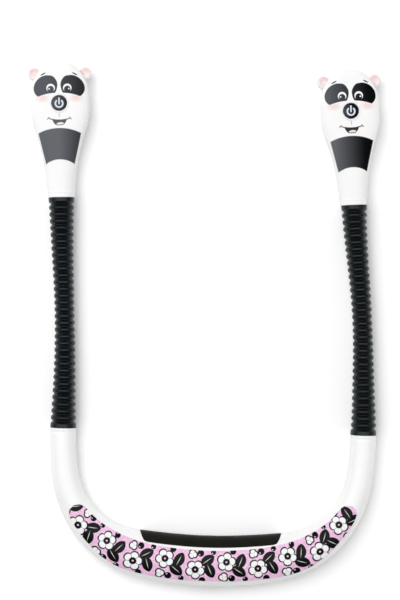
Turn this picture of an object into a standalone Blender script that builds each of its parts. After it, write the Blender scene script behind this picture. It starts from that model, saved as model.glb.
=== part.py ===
"""Neck reading light: a U-shaped band with two gooseneck arms and two lamp heads.

The light lies on its back, face side up.  X runs across the shoulders, Y runs from the
band to the lamp heads and Z points up out of the printed faces.  The origin is the middle
of the band's flat underside.  Lengths are in metres and angles in degrees.
"""

import math

import bmesh
import bpy
from mathutils import Matrix, Vector

# Clearances and walls shared by many pieces
fit_gap = 0.0003
seam_gap = 0.0003
overrun = 0.002
weld_distance = 0.000001
smooth_angle = 38.0

# Neck band
axis_height = 0.0085
bottom_radius = 0.236
bottom_sweep = 10.5
corner_radius = 0.056
corner_sweep = 71.2
leg_radius = 0.175
leg_straight = 0.0017
band_middle_width = 0.0301
band_middle_depth = 0.0186
leg_diameter = 0.0156
band_wall = 0.002
band_roundness_share = 0.833
band_width_shares = ((0.0, 1.0), (0.17, 0.96), (0.34, 0.78), (0.51, 0.45), (0.6, 0.28), (0.69, 0.13),
                     (0.77, 0.05), (0.86, 0.0), (1.0, 0.0))
upper_angles = (0.0, 22.5, 45.0, 67.5, 90.0, 112.5, 135.0, 157.5, 180.0)
lower_angles = (180.0, 202.5, 225.0, 247.5, 292.5, 315.0, 337.5, 360.0)
bottom_station_shares = (0.1, 0.33, 0.56, 0.79, 1.0)
corner_stations = 7
leg_stations = 2

# Comfort pad on the neck side of the band
pad_half_length = 0.0455
pad_slant = 0.005
pad_thickness = 0.0009
pad_low_angle = -50.0
pad_top_angle = 56.0
pad_steps = 6

# Printed label on top of the band, its two edges as shares of the band's half width along its half length
label_half_length = 0.095
label_shift = 0.002
label_end_length = 0.008
label_thickness = 0.0003
label_outer_shares = ((0.0, -0.727), (0.3, -0.784), (0.38, -0.8), (0.45, -0.754), (0.53, -0.66),
                      (0.61, -0.627), (0.8, -0.6))
label_inner_shares = ((0.0, 0.48), (0.23, 0.514), (0.34, 0.6), (0.45, 0.656), (0.53, 0.643),
                      (0.61, 0.6), (0.8, 0.56))
label_round_steps = 4
label_tip_share = 0.35

# Electronics in the band
board_length = 0.03
board_width = 0.0216
board_thickness = 0.001
board_level = 0.0046
board_post_spacing = 0.02
board_post_radius = 0.0016
cell_length = 0.026
cell_width = 0.018
cell_thickness = 0.009
cell_level = 0.0039
cell_gap = 0.003
cell_edge = 0.0008
port_width = 0.0089
port_height = 0.0032
port_length = 0.0073
port_wall = 0.00035
port_inset = 0.0005
port_tongue_width = 0.0066
port_tongue_height = 0.0007
port_pocket_depth = 0.006
port_corner_steps = 4
indicator_radius = 0.0009
indicator_offset = 0.0092
indicator_length = 0.006

# Screws, from the underside into bosses
screw_head_radius = 0.0018
screw_head_height = 0.0012
screw_shank_radius = 0.0009
screw_sink = 0.0006
screw_boss_radius = 0.0032
screw_post_radius = 0.0024
band_screw_length = 0.011
band_screw_station_shares = (0.415, 0.7)
head_screw_length = 0.009
head_screw_station_share = 0.64
post_sides = 10

# Ribbed sleeves and gooseneck cores
rib_pitch = 0.00406
rib_depth = 0.0011
sleeve_end_radius = leg_diameter / 2
sleeve_waist_radius = 0.006
sleeve_waist_power = 1.6
sleeve_fit = 0.0004
sleeve_sides = 10
ribs_in_link = (2, 6, 6, 6, 6, 6, 2)
left_headings = (0.0, -0.3, 1.0, 2.6, 3.7, 2.8, 2.2)
right_headings = (0.0, 2.2, 1.6, 4.1, 6.6, 6.2, 3.6)
bend_limit = 30.0
bend_margin = 1.5
bend_gap = 0.00025
core_radius = 0.0032
sleeve_bore_radius = core_radius + sleeve_fit
core_ball_radius = 0.002
core_cup_gap = 0.0004
core_cup_rim = 0.001
core_neck = 0.0015
core_sides = 8
core_arc_steps = 3
ferrule_fit = 0.0005
ferrule_radius = leg_diameter / 2 - band_wall - ferrule_fit
ferrule_length = 0.008

# Lamp heads
head_length = 0.0814
head_half_width = 0.0176
head_half_depth = 0.0085
neck_radius = 0.00805
head_wall = 0.0018
head_roundness_share = 0.4
crown_outline_shares = ((0.0, 0.0), (0.0043, 0.185), (0.015, 0.345), (0.032, 0.5), (0.059, 0.636),
                        (0.1, 0.8), (0.15, 0.907), (0.2, 0.96), (0.27, 0.997), (0.34, 1.0))
neck_outline_shares = ((0.34, 1.0), (0.405, 0.968), (0.5, 0.758), (0.617, 0.465), (0.73, 0.257),
                       (0.877, 0.09), (1.0, 0.0))
head_station_shares = (0.0043, 0.015, 0.032, 0.059, 0.1, 0.15, 0.21, 0.3, 0.38, 0.45, 0.53, 0.617, 0.73,
                       0.86, 1.0)
cavity_station_shares = (0.03, 0.059, 0.1, 0.16, 0.24, 0.33, 0.41, 0.5, 0.6, 0.7, 0.81)
square_station_shares = ((0.0, 1.0), (0.45, 1.0), (0.62, 0.7), (0.8, 0.0), (1.0, 0.0))
crown_depth = 0.007
crown_roundness_share = 0.77
head_sides = 20
cavity_sides = 12
button_sides = 16
lens_station_share = 0.276
lens_half_width = 0.0117
lens_half_length = 0.0147
lens_thickness = 0.0016
lens_ledge_width = 0.001
lens_ledge_height = 0.0008
lens_sides = 20
led_board_level = 0.0052
led_board_thickness = 0.0012
led_board_start_share = 0.074
led_board_end_share = 0.49
led_board_clearance = 0.0009
led_board_steps = 9
led_size = 0.0017
led_height = 0.0007
led_row_spacing = 0.009
led_column_spacing = 0.0075
led_rows = 3
led_columns = 2
button_station_share = 0.3127
button_radius = 0.0044
button_rise = 0.0004
button_travel = 0.0006
button_flange_width = 0.0009
button_flange_height = 0.0008
button_stem_radius = 0.0012
bezel_width = 0.0008
bezel_height = 0.0004
switch_size = 0.006
switch_height = 0.0034
switch_plunger_radius = 0.0017
switch_plunger_height = 0.0008
ear_radius = 0.0038
ear_offset_share = 0.875
ear_station_share = 0.0885
ear_depth = 0.006
ear_sides = 12
ear_edge_shares = ((0.0, 1.0), (0.55, 1.0), (0.88, 0.72), (1.0, 0.3))


def clear_scene():
    for old in list(bpy.data.objects):
        bpy.data.objects.remove(old, do_unlink=True)


def make_material(name, colour, roughness, metallic=0.0, clear=0.0):
    material = bpy.data.materials.new(name)
    material.use_nodes = True
    shader = material.node_tree.nodes["Principled BSDF"]
    shader.inputs["Base Color"].default_value = (*colour, 1.0)
    shader.inputs["Roughness"].default_value = roughness
    shader.inputs["Metallic"].default_value = metallic
    shader.inputs["Transmission Weight"].default_value = clear
    material.diffuse_color = (*colour, 1.0)
    return material


def add_object(name, bm, material=None, parent=None, location=(0, 0, 0), turn=0.0):
    """Close the mesh into an object; turn is about Z, in degrees, under the parent."""
    bmesh.ops.remove_doubles(bm, verts=bm.verts, dist=weld_distance)
    bmesh.ops.recalc_face_normals(bm, faces=bm.faces)
    mesh = bpy.data.meshes.new(name)
    bm.to_mesh(mesh)
    bm.free()
    mesh.shade_smooth()
    mesh.set_sharp_from_angle(angle=math.radians(smooth_angle))
    piece = bpy.data.objects.new(name, mesh)
    bpy.context.collection.objects.link(piece)
    piece.parent = parent
    piece.location = location
    piece.rotation_euler = (0, 0, math.radians(turn))
    if material is not None:
        mesh.materials.append(material)
    return piece


def add_cutter(name, bm, parent=None, location=(0, 0, 0), turn=0.0):
    cutter = add_object(name, bm, None, parent, location, turn)
    cutter.hide_render = True
    cutter.display_type = "WIRE"
    return cutter


def add_empty(name, parent=None, location=(0, 0, 0), turn=0.0):
    empty = bpy.data.objects.new(name, None)
    bpy.context.collection.objects.link(empty)
    empty.parent = parent
    empty.location = location
    empty.rotation_euler = (0, 0, math.radians(turn))
    return empty


def combine(piece, operation, *tools):
    for tool in tools:
        modifier = piece.modifiers.new(operation.lower() + "_" + tool.name, "BOOLEAN")
        modifier.operation = operation
        modifier.solver = "EXACT"
        modifier.object = tool


def read_shares(table, place):
    """Smooth curve through a table of (place, value) shares, level where the table is level."""
    for (a, va), (b, vb) in zip(table, table[1:]):
        if place <= b:
            low = max(table.index((a, va)) - 1, 0)
            high = min(table.index((b, vb)) + 1, len(table) - 1)
            slope_a = (vb - table[low][1]) / (b - table[low][0])
            slope_b = (table[high][1] - va) / (table[high][0] - a)
            t = (place - a) / (b - a)
            bulge = (slope_a * (1 - t) - slope_b * t) * (b - a) + (vb - va) * (2 * t - 1)
            return va + (vb - va) * t + bulge * t * (1 - t)
    return table[-1][1]


def loft(rings, cap_start=True, cap_end=True):
    """Skin a list of closed rings that have the same number of points."""
    bm = bmesh.new()
    rows = [[bm.verts.new(point) for point in ring] for ring in rings]
    for row, following in zip(rows, rows[1:]):
        for i in range(len(row)):
            j = (i + 1) % len(row)
            bm.faces.new((row[i], row[j], following[j], following[i]))
    if cap_start:
        bm.faces.new(rows[0])
    if cap_end:
        bm.faces.new(rows[-1])
    return bm


def strip_loft(outer_rows, inner_rows):
    """Skin a bent plate from its outer and inner rows of points, with its ends and edges closed."""
    bm = bmesh.new()
    outer = [[bm.verts.new(point) for point in row] for row in outer_rows]
    inner = [[bm.verts.new(point) for point in row] for row in inner_rows]
    for grid in (outer, inner):
        for row, following in zip(grid, grid[1:]):
            for i in range(len(row) - 1):
                bm.faces.new((row[i], row[i + 1], following[i + 1], following[i]))
    for skin, back in zip((outer[0], outer[-1]), (inner[0], inner[-1])):
        for i in range(len(skin) - 1):
            bm.faces.new((skin[i], skin[i + 1], back[i + 1], back[i]))
    for edge in (0, -1):
        for row in range(len(outer) - 1):
            bm.faces.new((outer[row][edge], outer[row + 1][edge], inner[row + 1][edge], inner[row][edge]))
    return bm


def turned(profile, sides, axis="Y"):
    """Spin a profile of (radius, height) points about an axis."""
    bm = bmesh.new()
    along_y = axis == "Y"
    points = [Vector((r, h, 0)) if along_y else Vector((r, 0, h)) for r, h in profile]
    verts = [bm.verts.new(point) for point in points]
    edges = [bm.edges.new(pair) for pair in zip(verts, verts[1:])]
    if profile[0][0] > 0:
        edges.append(bm.edges.new((verts[-1], verts[0])))
    direction = (0, 1, 0) if along_y else (0, 0, 1)
    bmesh.ops.spin(bm, geom=verts + edges, cent=(0, 0, 0), axis=direction, angle=2 * math.pi, steps=sides)
    bmesh.ops.remove_doubles(bm, verts=bm.verts, dist=weld_distance)
    return bm


def prism(outline, low, high):
    """Extrude a plan outline from one level to another."""
    bm = bmesh.new()
    base = bm.faces.new([bm.verts.new((x, y, low)) for x, y in outline])
    raised = bmesh.ops.extrude_face_region(bm, geom=[base])
    moved = [item for item in raised["geom"] if isinstance(item, bmesh.types.BMVert)]
    bmesh.ops.translate(bm, verts=moved, vec=(0, 0, high - low))
    return bm


def box(width, length, low, high, centre=(0.0, 0.0)):
    x, y = centre
    half_x, half_y = width / 2, length / 2
    outline = [(x - half_x, y - half_y), (x + half_x, y - half_y),
               (x + half_x, y + half_y), (x - half_x, y + half_y)]
    return prism(outline, low, high)


def ellipse(half_width, half_length, sides, centre=(0.0, 0.0)):
    turns = [2 * math.pi * (i + 0.5) / sides for i in range(sides)]
    return [(centre[0] + half_width * math.cos(a), centre[1] + half_length * math.sin(a)) for a in turns]


def join(*parts):
    """Gather several meshes in one, for a cutter or a set of bosses."""
    whole = bmesh.new()
    for part in parts:
        scratch = bpy.data.meshes.new("gathered")
        part.to_mesh(scratch)
        part.free()
        whole.from_mesh(scratch)
        bpy.data.meshes.remove(scratch)
    return whole


def super_point(half_width, half_depth, roundness, angle, offset=0.0):
    """Point of a section at an angle in degrees, moved out along its normal; roundness 1 is an ellipse."""
    c, s = math.cos(math.radians(angle)), math.sin(math.radians(angle))
    across = math.copysign(abs(c) ** roundness, c)
    up = math.copysign(abs(s) ** roundness, s)
    slope = 2 / roundness - 1
    normal = Vector((math.copysign(abs(across) ** slope, c) / half_width,
                     math.copysign(abs(up) ** slope, s) / half_depth)).normalized()
    return half_width * across + offset * normal.x, half_depth * up + offset * normal.y


# Neck band geometry
bottom_length = bottom_radius * math.radians(bottom_sweep)
corner_length = corner_radius * math.radians(corner_sweep)
leg_sweep = 90.0 - bottom_sweep - corner_sweep
leg_length = leg_radius * math.radians(leg_sweep)
band_half_length = bottom_length + corner_length + leg_length + leg_straight


def centre_line(station):
    """Point and inward normal of the band's centre line, a signed length from its middle."""
    remaining = abs(station)
    x, y, heading = 0.0, 0.0, 0.0
    arcs = ((bottom_radius, bottom_sweep), (corner_radius, corner_sweep), (leg_radius, leg_sweep))
    for radius, sweep in arcs:
        length = min(remaining, radius * math.radians(sweep))
        following = heading + length / radius
        x += radius * (math.sin(following) - math.sin(heading))
        y += radius * (math.cos(heading) - math.cos(following))
        heading = following
        remaining -= length
    x += remaining * math.cos(heading)
    y += remaining * math.sin(heading)
    side = math.copysign(1.0, station)
    return Vector((side * x, y, 0)), Vector((-side * math.sin(heading), math.cos(heading), 0))


def band_section(station):
    """Half width, half depth and roundness of the band at a station."""
    share = read_shares(band_width_shares, abs(station) / band_half_length)
    half_width = (leg_diameter + (band_middle_width - leg_diameter) * share) / 2
    half_depth = (leg_diameter + (band_middle_depth - leg_diameter) * share) / 2
    return half_width, half_depth, 1 - (1 - band_roundness_share) * share


def band_point(station, angle, offset=0.0, seam=None):
    """Point on the band: angle 0 is the neck side, 90 the top; seam keeps it above or below the split."""
    centre, inward = centre_line(station)
    across, up = super_point(*band_section(station), angle, offset)
    up = max(up, -axis_height - offset)
    if seam == "upper":
        up = max(up, seam_gap / 2)
    if seam == "lower":
        up = min(up, -seam_gap / 2)
    return centre + inward * across + Vector((0, 0, axis_height + up))


def band_stations():
    """Stations along one half of the band, from its middle to the leg's end."""
    places = [bottom_length * share for share in bottom_station_shares]
    places += [bottom_length + corner_length * (i + 1) / corner_stations for i in range(corner_stations)]
    leg_start = bottom_length + corner_length
    places += [leg_start + leg_length * (i + 1) / leg_stations for i in range(leg_stations)]
    return places + [band_half_length]


def band_top(station, across):
    """Height of the faceted top of the band over its centre line."""
    section = band_section(station)
    points = [super_point(*section, angle) for angle in upper_angles]
    for (x, up), (next_x, next_up) in zip(points, points[1:]):
        if next_x <= across:
            return up + (next_up - up) * (x - across) / (x - next_x)
    return 0.0


def mirrored(places):
    return [-place for place in reversed(places)] + list(places)


def top_point(station, across_share, lift):
    """Point above the band's faceted top, at a signed share of its half width."""
    rings = mirrored(band_stations())
    before = max(ring for ring in rings if ring <= station)
    after = min(ring for ring in rings if ring > station)
    ends = []
    for ring in (before, after):
        centre, inward = centre_line(ring)
        across = across_share * band_section(ring)[0]
        ends.append(centre + inward * across + Vector((0, 0, axis_height + band_top(ring, across) + lift)))
    return ends[0].lerp(ends[1], (station - before) / (after - before))


def band_floor(station):
    """Height of the band's underside at a station."""
    return max(axis_height - band_section(station)[1], 0.0)


def band_back(level):
    """Place of the band's outer skin at a level, in its middle."""
    half_width, half_depth, roundness = band_section(0.0)
    power = 2 / roundness
    drop = abs(axis_height - level) / half_depth
    return -half_width * (1 - drop ** power) ** (1 / power)


def shell_rings(angles, seam):
    rings = []
    for station in mirrored(band_stations()):
        outside = [band_point(station, angle, 0.0, seam) for angle in angles]
        inside = [band_point(station, angle, -band_wall, seam) for angle in angles]
        rings.append(outside + inside[::-1])
    return rings


def shell_loft(angles, seam):
    """Half shell of the band, its two end faces made of quads across the wall."""
    rings = shell_rings(angles, seam)
    bm = loft(rings, cap_start=False, cap_end=False)
    bm.verts.ensure_lookup_table()
    count = len(angles)
    for start in (0, (len(rings) - 1) * count * 2):
        for i in range(count - 1):
            j = 2 * count - 1 - i
            bm.faces.new([bm.verts[start + k] for k in (i, i + 1, j - 1, j)])
    return bm


def pad_rows(offset, margin):
    """Rows of the pad's surface, widened all round by a margin."""
    half_width = band_middle_width / 2
    angle_margin = math.degrees(margin / half_width)
    low, top = pad_low_angle - angle_margin, pad_top_angle + angle_margin
    angles = [low + (top - low) * i / pad_steps for i in range(pad_steps + 1)]
    inner_stations = [place for place in band_stations() if place < pad_half_length - 2 * pad_slant]
    places = mirrored(inner_stations)
    rows = []
    for end in (-1, None, 1):
        if end is None:
            rows += [[band_point(place, angle, offset) for angle in angles] for place in places]
            continue
        reach = [pad_half_length + margin - pad_slant * abs(angle) / pad_top_angle for angle in angles]
        rows.append([band_point(end * length, angle, offset) for length, angle in zip(reach, angles)])
    return rows


def label_span(station):
    """Lowest and highest place of the label across the band, where its ends are square."""
    half_width = band_section(station)[0]
    share = abs(station) / band_half_length
    return tuple(half_width * read_shares(table, share) for table in (label_outer_shares, label_inner_shares))


def label_stations():
    """Stations of the label's rows, closer where its ends round off."""
    straight = label_half_length - label_end_length
    clear = straight - label_end_length / 2
    along = [place for place in mirrored(band_stations()) if abs(place - label_shift) < clear]
    turns = [math.pi / 2 * (i + 1) / (label_round_steps + label_tip_share) for i in range(label_round_steps)]
    reach = [straight] + [straight + label_end_length * math.sin(turn) for turn in turns]
    low = [label_shift - place for place in reversed(reach)]
    return low + along + [label_shift + place for place in reach]


def label_rows(lift):
    """Rows of the label's surface, lifted off the band's top."""
    straight = label_half_length - label_end_length
    rows = []
    for place in label_stations():
        low, high = label_span(place)
        past = max(abs(place - label_shift) - straight, 0.0) / label_end_length
        middle, reach = (low + high) / 2, (high - low) / 2 * math.sqrt(1 - past ** 2)
        low, high = middle - reach, middle + reach
        section = band_section(place)
        creases = [super_point(*section, angle)[0] for angle in reversed(upper_angles[1:-1])]
        columns = [low] + [min(max(crease, low), high) for crease in creases] + [high]
        rows.append([top_point(place, across / section[0], lift) for across in columns])
    return rows


def screw_profile(length):
    """A pan-head screw standing on its head, (radius, height) from the head's face."""
    return [(0, 0), (screw_head_radius, 0), (screw_head_radius, screw_head_height),
            (screw_shank_radius, screw_head_height), (screw_shank_radius, length - screw_shank_radius),
            (0, length)]


def screw_seat(floor, length):
    """Levels of one screw: its head's face, its seat and the bottom of its hole."""
    face = floor + screw_sink
    return face, face + screw_head_height + fit_gap, face + length + fit_gap


def screw_tools(name, floor, length, low, high, seam, parent, location):
    """Bosses and bores for one screw, for the shells on both sides of a seam."""
    seat, hole_end = screw_seat(floor, length)[1:]

    def post(tag, radius, bottom, top):
        outline = ellipse(radius, radius, post_sides)
        return add_cutter(name + tag, prism(outline, bottom, top), parent, location)

    lower_boss = post("_lower_boss", screw_boss_radius, low, seam - seam_gap / 2)
    upper_boss = post("_upper_boss", screw_post_radius, seam + seam_gap / 2, high)
    recess = post("_recess", screw_head_radius + fit_gap, floor - overrun, seat)
    bore = post("_bore", screw_shank_radius + fit_gap, floor - overrun, hole_end)
    return lower_boss, upper_boss, recess, bore


def build_band(finish):
    upper = add_object("band_upper_shell", shell_loft(upper_angles, "upper"), finish["white_shell"])
    lower = add_object("band_lower_shell", shell_loft(lower_angles, "lower"), finish["white_underside"])

    pad = strip_loft(pad_rows(0.0, 0.0), pad_rows(-pad_thickness, 0.0))
    add_object("comfort_pad", pad, finish["pad_rubber"])
    recess = strip_loft(pad_rows(overrun, fit_gap), pad_rows(-pad_thickness - fit_gap, fit_gap))
    pad_recess = add_cutter("pad_recess", recess)
    combine(upper, "DIFFERENCE", pad_recess)
    combine(lower, "DIFFERENCE", pad_recess)

    label = strip_loft(label_rows(fit_gap + label_thickness), label_rows(fit_gap))
    add_object("print_label", label, finish["label_print"])

    # Screws near the ends of the wide part and in the legs
    number = 0
    for side in (-1, 1):
        for share in band_screw_station_shares:
            number += 1
            station = share * band_half_length
            centre = centre_line(side * station)[0]
            floor = band_floor(station)
            section = band_section(station)
            roof = axis_height + section[1] - band_wall / 2
            name = f"band_screw_{number}"
            tools = screw_tools(name, floor, band_screw_length, floor + band_wall / 2, roof, axis_height,
                                None, centre)
            combine(lower, "UNION", tools[0])
            combine(upper, "UNION", tools[1])
            combine(lower, "DIFFERENCE", tools[2], tools[3])
            combine(upper, "DIFFERENCE", tools[3])
            face = screw_seat(floor, band_screw_length)[0]
            screw = turned(screw_profile(band_screw_length), post_sides, axis="Z")
            add_object(name, screw, finish["steel"], None, centre + Vector((0, 0, face)))

    build_electronics(lower, finish)


def build_electronics(lower, finish):
    """Board, socket, light pipe and cells inside the band's lower shell."""
    board_top = board_level + board_thickness
    for side, name in ((-1, "left_board_post"), (1, "right_board_post")):
        place = (side * board_post_spacing / 2, 0)
        outline = ellipse(board_post_radius, board_post_radius, post_sides, place)
        post = prism(outline, band_wall / 2, board_level - fit_gap)
        combine(lower, "UNION", add_cutter(name, post))

    # The socket's mouth looks out of the back of the band, away from the neck
    port_level = board_level + board_thickness / 2
    skin = band_back(port_level)
    mouth = skin + port_inset
    port_back = mouth + port_length
    corner = port_height / 2

    def socket_outline(grow):
        width = port_width / 2 + grow - corner
        radius = corner + grow
        points = []
        for side in (1, -1):
            for step in range(port_corner_steps + 1):
                turn = math.pi * (step / port_corner_steps - side / 2)
                points.append((side * width + radius * math.cos(turn), radius * math.sin(turn)))
        return points

    def socket_solid(grow, start, end):
        outline = socket_outline(grow)
        return loft([[Vector((x, y, port_level + z)) for x, z in outline] for y in (start, end)])

    port = add_object("charge_port", socket_solid(0.0, mouth, port_back), finish["steel"])
    pocket_end = mouth + port_pocket_depth
    pocket = socket_solid(-port_wall, mouth - overrun, pocket_end)
    combine(port, "DIFFERENCE", add_cutter("port_pocket", pocket))
    tongue_low = port_level - port_tongue_height / 2
    tongue_length = port_pocket_depth - port_inset + port_wall
    tongue_middle = (mouth + port_inset + pocket_end + port_wall) / 2
    tongue_high = tongue_low + port_tongue_height
    tongue = box(port_tongue_width, tongue_length, tongue_low, tongue_high, (0, tongue_middle))
    combine(port, "UNION", add_cutter("port_tongue", tongue))
    opening = socket_solid(fit_gap, skin - overrun, port_back + fit_gap)
    port_opening = add_cutter("port_opening", opening)
    combine(lower, "DIFFERENCE", port_opening)

    board = box(board_length, board_width, board_level, board_top)
    board = add_object("control_board", board, finish["green_board"])
    combine(board, "DIFFERENCE", port_opening)

    # Light pipe beside the socket, on top of the board
    pipe_level = board_top + fit_gap + indicator_radius
    pipe_skin = band_back(pipe_level)

    def pipe(radius, start, end):
        profile = [(0, start), (radius, start), (radius, end), (0, end)]
        return turned(profile, post_sides)

    centre = (indicator_offset, 0, pipe_level)
    sag = indicator_offset ** 2 / (2 * bottom_radius)
    light_pipe = pipe(indicator_radius, pipe_skin + sag, pipe_skin + sag + indicator_length)
    add_object("charge_indicator", light_pipe, finish["frosted_clear"], None, centre)
    pipe_bore = pipe(indicator_radius + fit_gap, pipe_skin - overrun, pipe_skin + sag + indicator_length)
    combine(lower, "DIFFERENCE", add_cutter("indicator_bore", pipe_bore, None, centre))

    for side, name in ((-1, "left_battery_cell"), (1, "right_battery_cell")):
        place, inward = centre_line(side * (board_length / 2 + cell_gap + cell_length / 2))
        turn = math.degrees(math.atan2(-inward.x, inward.y))
        cell = box(cell_length, cell_width, cell_level, cell_level + cell_thickness)
        cell = add_object(name, cell, finish["cell_wrap"], None, place, turn)
        bevel = cell.modifiers.new("rounded_edges", "BEVEL")
        bevel.width = cell_edge
        bevel.segments = 1


# Gooseneck arms
rib_count = sum(ribs_in_link)
arm_length = rib_pitch * rib_count
joint_count = len(ribs_in_link) - 1


def crest_radius(along):
    """Radius over the ribs: wide at both ends of the arm and waisted in the middle."""
    return sleeve_waist_radius + (sleeve_end_radius - sleeve_waist_radius) * abs(
        2 * along / arm_length - 1) ** sleeve_waist_power


def sleeve_profile(link):
    """Closed profile of one sleeve link, its ribs outside and its bore inside."""
    start = rib_pitch * sum(ribs_in_link[:link])
    length = rib_pitch * ribs_in_link[link]
    points = []
    for half_rib in range(2 * ribs_in_link[link] + 1):
        along = half_rib * rib_pitch / 2
        radius = crest_radius(start + along)
        on_end = (link == 0 and half_rib == 0) or (link == joint_count and along >= length - rib_pitch / 4)
        if half_rib % 2 == 0 and not on_end:
            radius -= rib_depth
        points.append([radius, along])
    if link == 0:
        points[0][1] += fit_gap
    if link == joint_count:
        points[-1][1] -= fit_gap
    return points + [(sleeve_bore_radius, points[-1][1]), (sleeve_bore_radius, points[0][1])]


def ball_arc(radius, centre, start_turn, end_turn):
    """Arc points (radius, height) about a point on the axis; a turn of 90 is straight up."""
    points = []
    for step in range(core_arc_steps + 1):
        turn = math.radians(start_turn + (end_turn - start_turn) * step / core_arc_steps)
        points.append((max(radius * math.cos(turn), 0.0), centre + radius * math.sin(turn)))
    return points


def core_profile(link):
    """Turned core of one link: a cup on the ball below it, and a ball for the cup above it."""
    length = rib_pitch * ribs_in_link[link]
    cup_radius = core_ball_radius + core_cup_gap
    rim_turn = math.degrees(math.asin(core_cup_rim / cup_radius))
    ball = [(core_radius, length - core_neck), (core_ball_radius, length - core_neck)]
    ball += ball_arc(core_ball_radius, length, 0.0, 90.0)
    ball[-1] = (0, ball[-1][1])
    cup = ball_arc(cup_radius, 0.0, 90.0, rim_turn)
    cup[0] = (0, cup[0][1])
    cup.append((core_radius, core_cup_rim))
    if link == 0:
        ferrule = [(0, -ferrule_length), (ferrule_radius, -ferrule_length),
                   (ferrule_radius, 0), (core_radius, 0)]
        return ferrule + ball
    if link == joint_count:
        return cup + [(core_radius, length), (ferrule_radius, length),
                      (ferrule_radius, length + ferrule_length), (0, length + ferrule_length)]
    return cup + ball


def bow_tie(joint):
    """Clearance between two links: thin on the joint's axis and widening to both sides of it."""
    reach = sleeve_end_radius + overrun
    spread = bend_gap + reach * math.tan(math.radians((bend_limit + bend_margin) / 2))
    outline = [(-reach, -spread), (0, -bend_gap), (reach, -spread),
               (reach, spread), (0, bend_gap), (-reach, spread)]
    bm = prism(outline, -reach, reach)
    if joint % 2 == 1:
        bmesh.ops.rotate(bm, verts=bm.verts, cent=(0, 0, 0), matrix=Matrix.Rotation(math.pi / 2, 3, "Y"))
    return bm


def build_arm(side, headings, finish):
    """One gooseneck arm; odd joints bend up and down, even joints sweep from side to side."""
    end, _ = centre_line(band_half_length if side == "right" else -band_half_length)
    pivot = add_empty(side + "_arm_base", None, end + Vector((0, 0, axis_height)), headings[0])
    sleeves = []
    for link, ribs in enumerate(ribs_in_link):
        if link > 0:
            kink = headings[link] - headings[link - 1]
            length = rib_pitch * ribs_in_link[link - 1]
            pivot = add_empty(f"{side}_arm_pivot_{link}", pivot, (0, length, 0), kink)
        sleeve = turned(sleeve_profile(link), sleeve_sides)
        sleeves.append(add_object(f"{side}_sleeve_{link + 1}", sleeve, finish["sleeve_rubber"], pivot))
        if link > 0:
            gap = add_cutter(f"{side}_joint_gap_{link}", bow_tie(link), pivot, (0, 0, 0), -kink / 2)
            combine(sleeves[link - 1], "DIFFERENCE", gap)
            combine(sleeves[link], "DIFFERENCE", gap)
        core = turned(core_profile(link), core_sides)
        add_object(f"{side}_gooseneck_core_{link + 1}", core, finish["steel"], pivot)
    neck = rib_pitch * ribs_in_link[-1]
    return add_empty(side + "_head_base", pivot, (0, neck, 0))


# Lamp heads
def head_outline(share):
    """Half width of the head at a share of its length from the crown."""
    if share <= crown_outline_shares[-1][0]:
        return head_half_width * read_shares(crown_outline_shares, share)
    return neck_radius + (head_half_width - neck_radius) * read_shares(neck_outline_shares, share)


def head_section(share, offset):
    """Half width, half depth and roundness of the head at a share of its length from the crown."""
    half_width = head_outline(share)
    square = read_shares(square_station_shares, share)
    half_depth = neck_radius + (head_half_depth - neck_radius) * square
    depth = share * head_length
    if depth < crown_depth:
        power = 2 / crown_roundness_share
        half_depth *= (1 - (1 - depth / crown_depth) ** power) ** (1 / power)
    return half_width + offset, half_depth + offset, 1 - (1 - head_roundness_share) * square


def head_ring(share, offset, sides, shift=0.0):
    section = head_section(share, offset)
    place = head_length * (1 - share) + shift
    ring = []
    for i in range(sides):
        across, up = super_point(*section, 360 * i / sides)
        ring.append(Vector((across, place, up)))
    return ring


def head_solid(offset=0.0):
    """The head's outer form, its crown closed by a small flat."""
    shares = head_station_shares
    rings = [head_ring(share, offset, head_sides, offset if share == shares[0] else 0.0) for share in shares]
    rings[-1] = head_ring(1.0, offset, head_sides, -offset)
    return loft(rings)


def head_cavity():
    return loft([head_ring(share, -head_wall, cavity_sides) for share in cavity_station_shares])


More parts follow.
